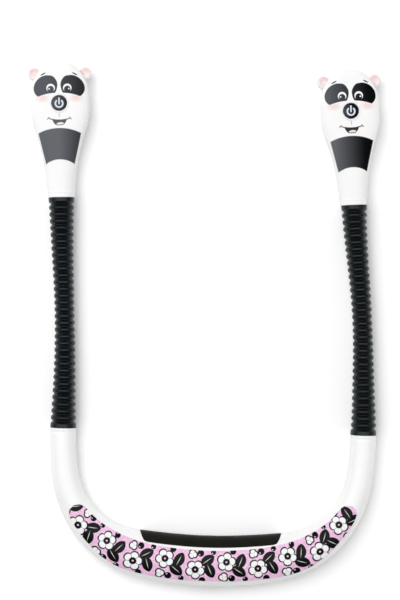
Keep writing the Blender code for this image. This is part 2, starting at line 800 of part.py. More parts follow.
def build_head(side, centre, finish):
    seam_box = 4 * head_length

    def tool(tag, bm, location=(0, 0, 0)):
        return add_cutter(f"{side}_head_{tag}", bm, centre, location)

    cavity = tool("cavity", head_cavity())
    bore_radius = ferrule_radius + fit_gap
    bore_length = head_length * (1 - cavity_station_shares[-1]) + overrun
    bore = [(0, -overrun), (bore_radius, -overrun), (bore_radius, bore_length), (0, bore_length)]
    ferrule_bore = tool("ferrule_bore", turned(bore, head_sides))
    front_half = tool("front_half", box(seam_box, seam_box, -seam_gap / 2, seam_box))
    back_half = tool("back_half", box(seam_box, seam_box, -seam_box, seam_gap / 2))

    face = add_object(side + "_face_shell", head_solid(), finish["white_shell"], centre)
    back = add_object(side + "_back_shell", head_solid(), finish["white_shell"], centre)
    combine(face, "DIFFERENCE", cavity, ferrule_bore, back_half)
    combine(back, "DIFFERENCE", cavity, ferrule_bore, front_half)

    # One screw low on the head, from behind
    half_depth = head_section(head_screw_station_share, 0.0)[1]
    floor = -half_depth
    roof = half_depth - head_wall / 2
    place = Vector((0, head_length * (1 - head_screw_station_share), 0))
    tools = screw_tools(side + "_head_screw", floor, head_screw_length, floor + head_wall / 2, roof, 0.0,
                        centre, place)
    combine(back, "UNION", tools[0])
    combine(back, "DIFFERENCE", tools[2], tools[3])
    combine(face, "UNION", tools[1])
    combine(face, "DIFFERENCE", tools[3])
    screw = turned(screw_profile(head_screw_length), post_sides, axis="Z")
    screw_face = screw_seat(floor, head_screw_length)[0]
    add_object(side + "_head_screw", screw, finish["steel"], centre, place + Vector((0, 0, screw_face)))

    # Lens in a stepped window in the back
    back_level = -head_half_depth
    ledge = back_level + lens_ledge_height
    lens_place = (0, head_length * (1 - lens_station_share))
    opening = (lens_half_width - lens_ledge_width, lens_half_length - lens_ledge_width)
    pocket = (lens_half_width + fit_gap, lens_half_length + fit_gap)
    window = prism(ellipse(*opening, lens_sides, lens_place), back_level - overrun, ledge + fit_gap)
    rebate = prism(ellipse(*pocket, lens_sides, lens_place), ledge, back_level + 2 * head_wall)
    combine(back, "DIFFERENCE", tool("window", window), tool("window_rebate", rebate))
    lens_low = ledge + fit_gap
    lens_high = lens_low + lens_thickness
    lens = prism(ellipse(lens_half_width, lens_half_length, lens_sides, lens_place), lens_low, lens_high)
    add_object(side + "_lens", lens, finish["lens_diffuser"], centre)

    # Board with its row of chips on the side of the lens
    board_low = led_board_level - axis_height
    board_high = board_low + led_board_thickness
    inset = head_wall + led_board_clearance
    right_edge = []
    for step in range(led_board_steps):
        run = step / (led_board_steps - 1)
        share = led_board_start_share + (led_board_end_share - led_board_start_share) * run
        right_edge.append((head_outline(share) - inset, head_length * (1 - share)))
    left_edge = [(-x, y) for x, y in reversed(right_edge)]
    board = add_object(side + "_led_board", prism(right_edge + left_edge, board_low, board_high),
                       finish["white_board"], centre)
    chips = []
    for row in range(led_rows):
        for column in range(led_columns):
            x = (column - (led_columns - 1) / 2) * led_column_spacing
            y = lens_place[1] + (row - (led_rows - 1) / 2) * led_row_spacing
            chip_top = board_low + led_board_thickness / 2
            chips.append(box(led_size, led_size, board_low - led_height, chip_top, (x, y)))
    combine(board, "UNION", tool("led_chips", join(*chips)))

    build_button(side, centre, face, board_high, finish)
    build_ears(side, centre, finish)


def build_button(side, centre, face, board_high, finish):
    """Power button on the nose of the face, with its bezel and the switch under it."""
    place = Vector((0, head_length * (1 - button_station_share), 0))
    skin = head_half_depth
    inner_skin = skin - head_wall
    hole_radius = button_radius + fit_gap
    bezel = prism(ellipse(hole_radius + bezel_width, hole_radius + bezel_width, button_sides),
                  skin - head_wall / 2, skin + bezel_height)
    hole = prism(ellipse(hole_radius, hole_radius, button_sides), inner_skin - overrun, skin + overrun)
    combine(face, "UNION", add_cutter(side + "_head_bezel", bezel, centre, place))
    combine(face, "DIFFERENCE", add_cutter(side + "_head_button_hole", hole, centre, place))

    switch_low = board_high + fit_gap
    switch_top = switch_low + switch_height
    plunger_top = switch_top + switch_plunger_height
    half = switch_size / 2
    corners = [(-half, -half), (half, -half), (half, half), (-half, half)]
    body = prism(corners, switch_low, switch_top)
    switch = add_object(side + "_tact_switch", body, finish["switch_black"], centre, place)
    plunger = prism(ellipse(switch_plunger_radius, switch_plunger_radius, post_sides),
                    switch_low + switch_height / 2, plunger_top)
    combine(switch, "UNION", add_cutter(side + "_switch_plunger", plunger, centre, place))

    top = skin + bezel_height + button_rise
    flange_top = inner_skin - fit_gap
    flange_radius = button_radius + button_flange_width
    stem_end = plunger_top + button_travel + fit_gap
    profile = [(0, top), (button_radius - button_rise, top), (button_radius, top - button_rise),
               (button_radius, flange_top), (flange_radius, flange_top),
               (flange_radius, flange_top - button_flange_height),
               (button_stem_radius, flange_top - button_flange_height),
               (button_stem_radius, stem_end), (0, stem_end)]
    button = turned(profile, button_sides, axis="Z")
    add_object(side + "_power_button", button, finish["button_black"], centre, place)


def build_ears(side, centre, finish):
    """Two round ears seated against the sides of the head near its crown."""
    seat = add_cutter(side + "_ear_seat", head_solid(fit_gap), centre)
    half_depth = ear_depth / 2
    upper = [(radius * ear_radius, place * half_depth) for place, radius in reversed(ear_edge_shares)]
    lower = [(radius, -height) for radius, height in reversed(upper[:-1])]
    profile = [(0, half_depth)] + upper + lower + [(0, -half_depth)]
    across = ear_offset_share * head_half_width
    along = head_length * (1 - ear_station_share)
    for sign, name in ((-1, "left_ear"), (1, "right_ear")):
        disc = turned(profile, ear_sides, axis="Z")
        ear = add_object(f"{side}_head_{name}", disc, finish["ear_pink"], centre, (sign * across, along, 0))
        combine(ear, "DIFFERENCE", seat)


def build():
    clear_scene()
    finish = {
        "white_shell": make_material("white_shell", (0.9, 0.9, 0.9), 0.25),
        "white_underside": make_material("white_underside", (0.86, 0.86, 0.86), 0.4),
        "label_print": make_material("label_print", (0.83, 0.52, 0.71), 0.35),
        "pad_rubber": make_material("pad_rubber", (0.05, 0.05, 0.04), 0.6),
        "sleeve_rubber": make_material("sleeve_rubber", (0.015, 0.015, 0.017), 0.55),
        "steel": make_material("steel", (0.55, 0.55, 0.57), 0.35, 1.0),
        "lens_diffuser": make_material("lens_diffuser", (0.93, 0.93, 0.9), 0.4, 0.0, 0.4),
        "frosted_clear": make_material("frosted_clear", (0.85, 0.87, 0.85), 0.4, 0.0, 0.5),
        "green_board": make_material("green_board", (0.03, 0.2, 0.08), 0.45),
        "white_board": make_material("white_board", (0.82, 0.82, 0.8), 0.45),
        "cell_wrap": make_material("cell_wrap", (0.5, 0.52, 0.55), 0.4),
        "switch_black": make_material("switch_black", (0.03, 0.03, 0.03), 0.5),
        "button_black": make_material("button_black", (0.02, 0.02, 0.02), 0.35),
        "ear_pink": make_material("ear_pink", (0.86, 0.42, 0.45), 0.5),
    }
    build_band(finish)
    for side, headings in (("left", left_headings), ("right", right_headings)):
        head_base = build_arm(side, headings, finish)
        build_head(side, head_base, finish)


build()
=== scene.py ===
from math import copysign, cos, pi, radians, sin, sqrt, tan

import bmesh
import bpy
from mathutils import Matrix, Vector


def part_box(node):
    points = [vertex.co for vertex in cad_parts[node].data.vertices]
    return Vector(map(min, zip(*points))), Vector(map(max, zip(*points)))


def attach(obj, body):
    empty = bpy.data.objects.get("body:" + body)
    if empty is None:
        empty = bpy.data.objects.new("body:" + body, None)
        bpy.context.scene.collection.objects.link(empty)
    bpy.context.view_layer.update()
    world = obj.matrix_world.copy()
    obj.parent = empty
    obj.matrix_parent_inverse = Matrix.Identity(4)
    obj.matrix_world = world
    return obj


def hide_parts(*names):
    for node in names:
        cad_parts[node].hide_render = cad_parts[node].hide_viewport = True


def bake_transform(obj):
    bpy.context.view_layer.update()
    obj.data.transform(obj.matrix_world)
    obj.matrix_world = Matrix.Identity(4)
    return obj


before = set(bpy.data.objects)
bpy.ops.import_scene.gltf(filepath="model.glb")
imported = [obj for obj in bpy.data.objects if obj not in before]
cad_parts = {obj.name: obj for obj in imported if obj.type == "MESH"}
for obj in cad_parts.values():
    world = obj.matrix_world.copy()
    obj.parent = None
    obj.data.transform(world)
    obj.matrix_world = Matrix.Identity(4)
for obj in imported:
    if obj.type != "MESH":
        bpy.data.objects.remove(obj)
for spare in ("Cube", "Light", "Camera"):        # what a new file comes with
    if spare in bpy.data.objects:
        bpy.data.objects.remove(bpy.data.objects[spare], do_unlink=True)
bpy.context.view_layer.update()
sides = ("left", "right")
# Within this many metres two points, two mirrored halves or two rings are one; the last is for cuts
near = {"points": 0.000001, "halves": 0.00001, "rings": 0.00002, "cuts": 0.0000001}


def selectOnly(piece):
    bpy.ops.object.select_all(action="DESELECT")
    piece.select_set(True)
    bpy.context.view_layer.objects.active = piece


def startEdit(piece, action="DESELECT"):
    selectOnly(piece)
    bpy.ops.object.mode_set(mode="EDIT")
    bpy.ops.mesh.select_mode(type="VERT")
    bpy.ops.mesh.select_all(action=action)


def endEdit():
    bpy.ops.object.mode_set(mode="OBJECT")


def pick(piece, wanted, kind="VERT"):
    # Vertices are picked by their place, edges and faces by a test of the whole edge or face
    bpy.ops.mesh.select_mode(type=kind)
    bpy.ops.mesh.select_all(action="DESELECT")
    mesh = bmesh.from_edit_mesh(piece.data)
    for part in {"VERT": mesh.verts, "EDGE": mesh.edges, "FACE": mesh.faces}[kind]:
        part.select = wanted(part.co if kind == "VERT" else part)
    mesh.select_flush_mode()
    bmesh.update_edit_mesh(piece.data)


def shiftBy(*step):
    bpy.ops.transform.translate(value=step)


def extrudeBy(*step):
    bpy.ops.mesh.extrude_region_move(TRANSFORM_OT_translate={"value": step})


def resizeAbout(centre, *shares):
    bpy.ops.transform.resize(value=shares, center_override=centre)


def applyModifier(piece, kind, **settings):
    selectOnly(piece)
    modifier = piece.modifiers.new(kind.lower(), kind)
    for name, value in settings.items():
        setattr(modifier, name, value)
    bpy.ops.object.modifier_apply(modifier=modifier.name)


def applyPlace(piece):
    selectOnly(piece)
    bpy.ops.object.transform_apply(location=True, rotation=True, scale=True)


def addPiece(add, name, scale=(1, 1, 1), **settings):
    # A primitive with its place and scale in its mesh
    bpy.ops.object.select_all(action="DESELECT")
    add(**settings)
    piece = bpy.context.object
    piece.name = piece.data.name = name
    piece.scale = scale
    applyPlace(piece)
    return piece


def copyOf(piece, name):
    selectOnly(piece)
    bpy.ops.object.duplicate()
    made = bpy.context.object
    made.name = made.data.name = name
    return made


def discard(*pieces):
    for piece in pieces:
        bpy.data.objects.remove(piece, do_unlink=True)


def moveAll(piece, value):
    startEdit(piece, "SELECT")
    shiftBy(*value)
    endEdit()


def bisectAt(piece, place, direction, fill=False):
    # What lies behind the plane goes
    startEdit(piece, "SELECT")
    bpy.ops.mesh.bisect(plane_co=place, plane_no=direction, use_fill=fill, clear_inner=True, threshold=near["cuts"])
    endEdit()


def cutAway(piece, cutter):
    applyModifier(piece, "BOOLEAN", operation="DIFFERENCE", solver="EXACT", object=cutter)
    discard(cutter)


def outwardNormals(piece):
    startEdit(piece, "SELECT")
    bpy.ops.mesh.remove_doubles(threshold=near["points"])
    bpy.ops.mesh.normals_make_consistent(inside=False)
    endEdit()


def thicken(piece, thickness, offset=-1, **settings):
    applyModifier(piece, "SOLIDIFY", thickness=thickness, offset=offset, **settings)


def keepHalf(form, height, way, sizes):
    # The half above or below the seam, as a shell with a wall
    bisectAt(form, (0, 0, height + way * sizes["seam"] / 2), (0, 0, way))
    thicken(form, sizes["wall"])


def roundEdges(piece, width, segments=2, angle=40):
    applyModifier(piece, "BEVEL", width=width, segments=segments, limit_method="ANGLE", angle_limit=radians(angle))


def smoothShade(piece, angle=40):
    selectOnly(piece)
    bpy.ops.object.shade_smooth_by_angle(angle=radians(angle))


def dress(piece, material, body=None, nodes=()):
    piece.data.materials.clear()
    piece.data.materials.append(material)
    if nodes:
        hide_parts(*nodes)
    if body:
        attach(piece, body)


def smoothShare(table, place):
    # Smooth curve through a table of (place, value) pairs
    for (a, va), (b, vb) in zip(table, table[1:]):
        if place <= b:
            before = table[max(table.index((a, va)) - 1, 0)]
            after = table[min(table.index((b, vb)) + 1, len(table) - 1)]
            slopeA = (vb - before[1]) / (b - before[0])
            slopeB = (after[1] - va) / (after[0] - a)
            t = (place - a) / (b - a)
            bulge = (slopeA * (1 - t) - slopeB * t) * (b - a) + (vb - va) * (2 * t - 1)
            return va + (vb - va) * t + bulge * t * (1 - t)
    return table[-1][1]


# Tubes are rings that are extruded along X or Y, and may then follow a path
def addRing(name, turn, sizes):
    # A rounded square two units across, with its middle on the axis that it is extruded along
    piece = addPiece(bpy.ops.mesh.primitive_plane_add, name, size=2, rotation=turn)
    startEdit(piece, "SELECT")
    bpy.ops.mesh.delete(type="ONLY_FACE")
    bpy.ops.mesh.select_all(action="SELECT")
    bpy.ops.mesh.bevel(offset=sizes["cornerShare"], segments=sizes["arcSteps"], affect="VERTICES")
    # The four flats, which are the longest edges, are cut up as well
    longest = max(edge.calc_length() for edge in bmesh.from_edit_mesh(piece.data).edges)
    pick(piece, lambda edge: edge.calc_length() > longest * 0.95, "EDGE")
    bpy.ops.mesh.subdivide(number_cuts=sizes["flatCuts"])
    bpy.ops.mesh.select_mode(type="VERT")
    bpy.ops.mesh.select_all(action="SELECT")
    return piece


def growRings(piece, axis, rings):
    # Each ring has its place, half width, half height and how far it is turned into a circle
    direction = Vector((1, 0, 0)) if axis == "X" else Vector((0, 1, 0))
    place = 0.0

    def resizeTo(halfWidth, halfHeight):
        mesh = bmesh.from_edit_mesh(piece.data)
        picked = [vert.co - centre for vert in mesh.verts if vert.select]
        x, y, z = [max(abs(co[i]) for co in picked) or 1.0 for i in range(3)]
        across, up = halfWidth / (y if axis == "X" else x), halfHeight / z
        resizeAbout(centre, *((1, across, up) if axis == "X" else (across, 1, up)))

    for number, (newPlace, halfWidth, halfHeight, roundBy) in enumerate(rings):
        step = direction * (newPlace - place)
        place = newPlace
        centre = direction * place
        if number:
            extrudeBy(*step)
        else:
            shiftBy(*step)
        if roundBy > 0:
            resizeTo(1, 1)
            bpy.ops.transform.tosphere(value=roundBy, center_override=centre)
        resizeTo(halfWidth, halfHeight)


def makePath(name, points, radii=None):
    data = bpy.data.curves.new(name, "CURVE")
    data.dimensions = "3D"
    data.twist_mode = "Z_UP"
    spline = data.splines.new("POLY")
    spline.points.add(len(points) - 1)
    for spot, point, radius in zip(spline.points, points, radii or [1.0] * len(points)):
        spot.co = (*point, 1)
        spot.radius = radius
    path = bpy.data.objects.new(name, data)
    bpy.context.collection.objects.link(path)
    return path


def followPath(piece, path):
    applyModifier(piece, "CURVE", object=path, deform_axis="POS_X")


current = {}        # the tree in which nodes are being laid out


class Wire:
    # What a node gives, so that masks and places are worked out in plain sums
    def __init__(self, socket):
        self.socket = socket

    def __add__(self, other):
        return calculate("ADD", self, other)

    def __sub__(self, other):
        return calculate("SUBTRACT", self, other)

    def __rsub__(self, other):
        return calculate("SUBTRACT", other, self)

    def __mul__(self, other):
        return calculate("MULTIPLY", self, other)

    def __or__(self, other):
        return calculate("MAXIMUM", self, other)

    def __abs__(self):
        return calculate("ABSOLUTE", self)


def newMaterial(name):
    material = bpy.data.materials.new(name)
    material.use_nodes = True
    current["tree"] = material.node_tree
    return material


def feed(socket, value):
    if isinstance(value, Wire):
        current["tree"].links.new(value.socket, socket)
    else:
        socket.default_value = value


def addNode(kind, inputs=None, output=0, **settings):
    node = current["tree"].nodes.new("ShaderNode" + kind)
    for name, value in settings.items():
        setattr(node, name, value)
    for name, value in (inputs or {}).items():
        feed(node.inputs[name], value)
    return Wire(node.outputs[output])


def calculate(operation, *values):
    return addNode("Math", dict(enumerate(values)), operation=operation)


def objectPlace():
    return addNode("TexCoord", output="Object")


def split(place):
    first = addNode("SeparateXYZ", {0: place})
    return [Wire(socket) for socket in first.socket.node.outputs]


def join(x, y, z=0.0):
    return addNode("CombineXYZ", {0: x, 1: y, 2: z})


def lengthOf(place):
    return addNode("VectorMath", {0: place}, "Value", operation="LENGTH")


def noise(place, scale, detail):
    return addNode("TexNoise", {"Vector": place, "Scale": scale, "Detail": detail}, "Fac")


def spread(value, low, high, fromLow=0.3, fromHigh=0.7):
    return addNode("MapRange", {"Value": value, "From Min": fromLow, "From Max": fromHigh,
                                "To Min": low, "To Max": high})


def mottled(place, scale=60.0, detail=5.0, high=1.0):
    return spread(noise(place, scale, detail), 0.0, high)


def paint(under, over, mask):
    return addNode("Mix", {0: mask, 6: under, 7: over}, 2, data_type="RGBA")


def paintLayers(colour, layers):
    for tone, mask in layers:
        colour = paint(colour, tone, mask)
    return colour


def belowLine(value, limit, edge=0.09):
    return spread(value, 1.0, 0.0, limit - edge, limit + edge)


def without(mask, other):
    return mask * (1.0 - other)


def unitSpot(flat, centre, radii=(1.0, 1.0), turn=0.0):
    # Place in an ellipse whose edge is at distance 1
    return addNode("Mapping", {"Vector": flat, "Location": (*centre, 0), "Scale": (*radii, 1),
                               "Rotation": (0, 0, radians(turn))}, vector_type="TEXTURE")


def spotMask(flat, centre, radii, turn=0.0, edge=0.09):
    soft = edge / min(radii)
    return spread(lengthOf(unitSpot(flat, centre, radii, turn)), 1.0, 0.0, 1 - soft, 1 + soft)


fineDetail, glossNoise = 3.0, (90.0, 4.0)        # detail of the grain, scale and detail of the gloss's patches


def coat(material, colour, grain, levels=None, relief=None, matt=None):
    # A moulded surface; the grain has its size and height, the roughness, and how far that varies in patches
    size, height, roughness, patchiness = grain
    sockets = material.node_tree.nodes["Principled BSDF"].inputs
    feed(sockets["Base Color"], colour)
    for name, value in (levels or {}).items():
        sockets[name].default_value = value
    fine = noise(objectPlace(), 1 / size, fineDetail)
    if relief:
        fine = fine + relief
    feed(sockets["Normal"], addNode("Bump", {"Height": fine, "Distance": height, "Strength": 1.0}))
    gloss = spread(noise(objectPlace(), *glossNoise), roughness - patchiness, roughness + patchiness)
    feed(sockets["Roughness"], gloss + matt if matt else gloss)
    return material


def plainFinish(name, colour, tint, grain, levels=None):
    material = newMaterial(name)
    colour = (*colour, 1)
    return coat(material, paint(colour, (*tint, 1), mottled(objectPlace())) if tint else colour, grain, levels)


print("frame and helpers ready")

# Colour, a second tone of it, the grain, and levels of the shader's own
finishes = {
    "whiteShell": ((0.9, 0.9, 0.895), (0.91, 0.91, 0.906), (0.0012, 0.000004, 0.24, 0.02)),
    "bezelWhite": ((0.8, 0.8, 0.81), (0.84, 0.84, 0.85), (0.0012, 0.00001, 0.3, 0.04)),
    "sleeveRubber": ((0.0011, 0.0015, 0.002), (0.0017, 0.0022, 0.0029), (0.0004, 0.00003, 0.36, 0.07),
                     {"Specular IOR Level": 0.42, "Specular Tint": (0.8, 0.95, 1, 1)}),
    "brushedSteel": ((0.5, 0.5, 0.52), (0.6, 0.6, 0.61), (0.0003, 0.00001, 0.3, 0.1), {"Metallic": 1.0}),
    "greenBoard": ((0.02, 0.12, 0.05), (0.03, 0.16, 0.06), (0.0012, 0.00001, 0.4, 0.04)),
    "whiteBoard": ((0.78, 0.78, 0.74), (0.82, 0.82, 0.8), (0.0012, 0.00001, 0.45, 0.04)),
    "cellWrap": ((0.4, 0.42, 0.45), (0.46, 0.48, 0.52), (0.0012, 0.00001, 0.35, 0.04)),
    "switchBlack": ((0.02, 0.02, 0.02), (0.03, 0.03, 0.03), (0.0012, 0.00001, 0.5, 0.04)),
    "lensMilk": ((0.92, 0.92, 0.88), None, (0.0008, 0.00001, 0.45, 0.05), {"Transmission Weight": 0.35}),
    "pipeClear": ((0.85, 0.88, 0.85), None, (0.0008, 0.00001, 0.3, 0.05), {"Transmission Weight": 0.5}),
}
plain = {name: plainFinish(name, *values) for name, values in finishes.items()}
print("finishes made")

bandSizes = {
    "axisHeight": 0.0085,
    "bottomRadius": 0.236, "bottomSweep": 10.5, "cornerRadius": 0.056, "cornerSweep": 71.2,
    "legRadius": 0.175, "legSweep": 8.3, "legStraight": 0.0017,
    "middleWidth": 0.0301, "middleDepth": 0.0186, "legDiameter": 0.0156,
    "wall": 0.002, "seam": 0.0003, "edgeRound": 0.0003,
    # Share of the half length, and how far the band is there between the leg's size and the middle's
    "widthShares": ((0.0, 1.0), (0.17, 0.96), (0.34, 0.78), (0.51, 0.45), (0.6, 0.28), (0.69, 0.13),
                    (0.77, 0.05), (0.86, 0.0), (1.0, 0.0)),
    "roundFrom": 0.3, "roundBy": 0.16,
    "cornerShare": 0.86, "arcSteps": 14, "flatCuts": 1, "rings": 64, "pathPoints": 500,
    # Distance from the leg's end and how much the tube is drawn in there
    "collar": ((0.0029, 0.0), (0.0026, 0.00012), (0.0018, 0.00012), (0.0015, 0.0), (0.0, 0.0)), "collarClear": 0.0008,
}
holeSizes = {"gap": 0.0003, "reach": 0.006, "screwSink": 0.0006, "screwHead": 0.0018, "recessDepth": 0.0019}
bandArcs = [(bandSizes[part + "Radius"], radians(bandSizes[part + "Sweep"])) for part in ("bottom", "corner", "leg")]
bandHalfLength = sum(radius * sweep for radius, sweep in bandArcs) + bandSizes["legStraight"]
axisHeight = bandSizes["axisHeight"]


def bandCentre(station):
    # Point on the band's centre line at a signed length from its middle
    left = abs(station)
    x = y = heading = 0.0
    for radius, sweep in bandArcs:
        length = min(left, radius * sweep)
        turned = heading + length / radius
        x += radius * (sin(turned) - sin(heading))
        y += radius * (cos(heading) - cos(turned))
        heading = turned
        left -= length
    return Vector((copysign(x + left * cos(heading), station), y + left * sin(heading), 0))


def bandHalfSize(station):
    share = smoothShare(bandSizes["widthShares"], abs(station) / bandHalfLength)
    leg = bandSizes["legDiameter"]
    return ((leg + (bandSizes["middleWidth"] - leg) * share) / 2,
            (leg + (bandSizes["middleDepth"] - leg) * share) / 2, share)


def bandRings(upTo, count, proud=0.0):
    # From the middle of the band outwards; past the wide part the section turns into a circle
    rings = []
    for step in range(count + 1):
        station = upTo * step / count
        halfWidth, halfDepth, share = bandHalfSize(station)
        roundBy = bandSizes["roundBy"] if share < bandSizes["roundFrom"] else 0.0
        rings.append((station, halfWidth + proud, halfDepth + proud, roundBy))
    return rings


def buildBandTube():
    collar = bandSizes["collar"]
    tube = addRing("bandLowerShell", (0, pi / 2, 0), bandSizes)
    rings = bandRings(bandHalfLength - collar[0][0] - bandSizes["collarClear"], bandSizes["rings"])
    leg = bandSizes["legDiameter"] / 2
    rings += [(bandHalfLength - back, leg - drawn, leg - drawn, 1.0) for back, drawn in collar]
    growRings(tube, "X", rings)
    endEdit()
    applyModifier(tube, "MIRROR", use_axis=(True, False, False), merge_threshold=near["halves"])
    moveAll(tube, (bandHalfLength, 0, axisHeight))
    bisectAt(tube, (0, 0, 0), (0, 0, 1), fill=True)
    outwardNormals(tube)
    return tube


def middleOf(node):
    low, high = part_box(node)
    return (low + high) / 2, high - low


def cutBandHoles(shell):
    # The socket's mouth and the light pipe's hole at the back, and the four screw recesses underneath
    gap, reach = holeSizes["gap"], holeSizes["reach"]
    middle, size = middleOf("charge_port")
    mouth = addPiece(bpy.ops.mesh.primitive_cube_add, "mouth", (size.x + gap * 2, size.y + reach, size.z + gap * 2),
                     size=1, location=(middle.x, middle.y - reach / 2, middle.z))
    startEdit(mouth)
    pick(mouth, lambda edge: abs(edge.verts[0].co.y - edge.verts[1].co.y) > size.y / 2, "EDGE")
    bpy.ops.mesh.bevel(offset=size.z / 2, segments=8)
    endEdit()
    cutAway(shell, mouth)

    middle, size = middleOf("charge_indicator")
    cutAway(shell, addPiece(bpy.ops.mesh.primitive_cylinder_add, "pipeHole", vertices=32, radius=size.x / 2 + gap / 2,
                            depth=size.y * 2, location=(middle.x, middle.y - size.y / 2, middle.z),
                            rotation=(pi / 2, 0, 0)))
    for number in range(1, 5):
        middle, size = middleOf(f"band_screw_{number}")
        top = holeSizes["recessDepth"] + middle.z - size.z / 2 - holeSizes["screwSink"]
        cutAway(shell, addPiece(bpy.ops.mesh.primitive_cylinder_add, "screwRecess", vertices=32,
                                radius=holeSizes["screwHead"] + gap, depth=top * 2 + reach,
                                location=(middle.x, middle.y, -reach / 2)))


stations = [bandHalfLength * (2 * i / bandSizes["pathPoints"] - 1) for i in range(bandSizes["pathPoints"] + 1)]
bandPath = makePath("bandPath", [bandCentre(station) for station in stations])
lowerShell = buildBandTube()
upperShell = copyOf(lowerShell, "bandUpperShell")
for shell, way in ((upperShell, 1), (lowerShell, -1)):
    keepHalf(shell, axisHeight, way, bandSizes)
    followPath(shell, bandPath)
print("band shells lofted")
cutBandHoles(lowerShell)
for shell, node in ((upperShell, "band_upper_shell"), (lowerShell, "band_lower_shell")):
    roundEdges(shell, bandSizes["edgeRound"])
    smoothShade(shell, 35)
    dress(shell, plain["whiteShell"], "neck_band", [node])
print("band shells finished")

padSizes = {
    "halfLength": 0.0467, "past": 0.004, "topAcrossShare": 0.58, "lowAcrossShare": 0.66, "slant": 0.86,
    "cornerRadius": 0.0024, "cornerCuts": (0.25, 0.5, 0.75), "proud": 0.00015, "thickness": 0.0012,
    "edgeRound": 0.0003, "rings": 24,
    "arcCentre": 0.236, "ridgeEvery": 0.0011, "grain": (0.0003, 0.00005, 0.5, 0.08),
    "colour": (0.0055, 0.005, 0.0034, 1), "worn": (0.008, 0.0073, 0.005, 1), "gloss": 0.16,
}


def buildPad():
    pad = addRing("comfortPad", (0, pi / 2, 0), bandSizes)
    pick(pad, lambda co: co.y < (padSizes["topAcrossShare"] if co.z > 0 else padSizes["lowAcrossShare"]))
    bpy.ops.mesh.delete(type="VERT")
    bpy.ops.mesh.select_all(action="SELECT")
    growPadRings()
    endEdit()
    applyModifier(pad, "MIRROR", use_axis=(True, False, False), merge_threshold=near["halves"])
    middleHalf = bandHalfSize(0)[0]
    radius = padSizes["cornerRadius"]
    lowEdge = middleHalf * padSizes["topAcrossShare"]
    for side in (-1, 1):
        corner = Vector((side * padSizes["halfLength"], middleHalf, 0))
        slant = Vector((-side, padSizes["slant"], 0)).normalized()
        bisectAt(pad, corner, slant)
        # The lower corner is cut round, about a centre that is one radius in from both edges
        down = lowEdge + radius - middleHalf
        centre = corner + Vector((side * (slant.y * down - radius) / -slant.x * side, down, 0))
        for turn in padSizes["cornerCuts"]:
            way = slant.lerp(Vector((0, 1, 0)), turn).normalized()
            bisectAt(pad, centre - way * radius, way)
    outwardNormals(pad)
    moveAll(pad, (bandHalfLength, 0, axisHeight))
    thicken(pad, padSizes["thickness"])
    followPath(pad, bandPath)
    outwardNormals(pad)
    roundEdges(pad, padSizes["edgeRound"])
    smoothShade(pad, 50)
    return pad


def growPadRings():
    # The open arc keeps the band's own section, a little proud of it
    place, width, height = 0.0, 1.0, 1.0
    rings = bandRings(padSizes["halfLength"] + padSizes["past"], padSizes["rings"], padSizes["proud"])
    for number, (newPlace, halfWidth, halfDepth, _) in enumerate(rings):
        if number:
            extrudeBy(newPlace - place, 0, 0)
        place = newPlace
        resizeAbout((place, 0, 0), 1, halfWidth / width, halfDepth / height)
        width, height = halfWidth, halfDepth


def padFinish():
    # Matt rubber with fine ridges that follow the neck's curve
    material = newMaterial("padRubber")
    x, y, z = split(objectPlace())
    reach = lengthOf(join(x, y - padSizes["arcCentre"]))
    ridges = calculate("SINE", (reach + z) * (2 * pi / padSizes["ridgeEvery"]))
    colour = paint(padSizes["colour"], padSizes["worn"], mottled(objectPlace()))
    return coat(material, colour, padSizes["grain"], {"Specular IOR Level": padSizes["gloss"]}, relief=ridges)


dress(buildPad(), padFinish(), "neck_band", ["comfort_pad"])
print("comfort pad finished")

armSizes = {
    "ribPitch": 0.00406, "ribsInLink": (2, 6, 6, 6, 6, 6, 2), "ribDepth": 0.0012, "sleeveWall": 0.0009,
    "endRadius": 0.0078, "waistRadius": 0.006, "waistPower": 1.6, "sides": 48, "pathPoints": 170,
    "leftHeadings": (0.0, -0.3, 1.0, 2.6, 3.7, 2.8, 2.2),
    "rightHeadings": (0.0, 2.2, 1.6, 4.1, 6.6, 6.2, 3.6),
    # Share of the pitch and how much of the rib's depth is left off there
    "ribShape": ((0.0, 1.0), (0.05, 0.97), (0.12, 0.76), (0.2, 0.44), (0.29, 0.17), (0.39, 0.04), (0.5, 0.0),
                 (0.61, 0.04), (0.71, 0.17), (0.8, 0.44), (0.88, 0.76), (0.95, 0.97), (1.0, 1.0)),
    "rimShare": 0.3, "blendReach": 0.9, "rimGap": 0.0002,
}
ribPitch = armSizes["ribPitch"]
ribCount = sum(armSizes["ribsInLink"])
armLength = ribPitch * ribCount
jointRibs = [sum(armSizes["ribsInLink"][:link]) for link in range(1, len(armSizes["ribsInLink"]))]
pieceRibs = [0] + [(a + b) / 2 for a, b in zip(jointRibs, jointRibs[1:])] + [ribCount]


def wayOf(heading):
    turn = radians(heading)
    return Vector((-sin(turn), cos(turn), 0))


def legEnd(side):
    return bandCentre(bandHalfLength if side == "right" else -bandHalfLength) + Vector((0, 0, axisHeight))


def crestRadius(place):
    waist = armSizes["waistRadius"]
    return waist + (armSizes["endRadius"] - waist) * abs(2 * place / armLength - 1) ** armSizes["waistPower"]


def armPoints(side):
    # The chain of links, with its heading eased from the middle of one link to the next
    headings, steps = armSizes[side + "Headings"], armSizes["pathPoints"]
    starts = [0] + [ribPitch * rib for rib in jointRibs] + [armLength]
    middles = [(a + b) / 2 for a, b in zip(starts, starts[1:])]
    points = [legEnd(side)]
    for step in range(steps):
        place = armLength * (step + 0.5) / steps
        heading = headings[0] if place <= middles[0] else headings[-1]
        for a, b, ha, hb in zip(middles, middles[1:], headings, headings[1:]):
            if a < place <= b:
                heading = ha + (hb - ha) * (place - a) / (b - a)
        points.append(points[-1] + wayOf(heading) * armLength / steps)
    return points


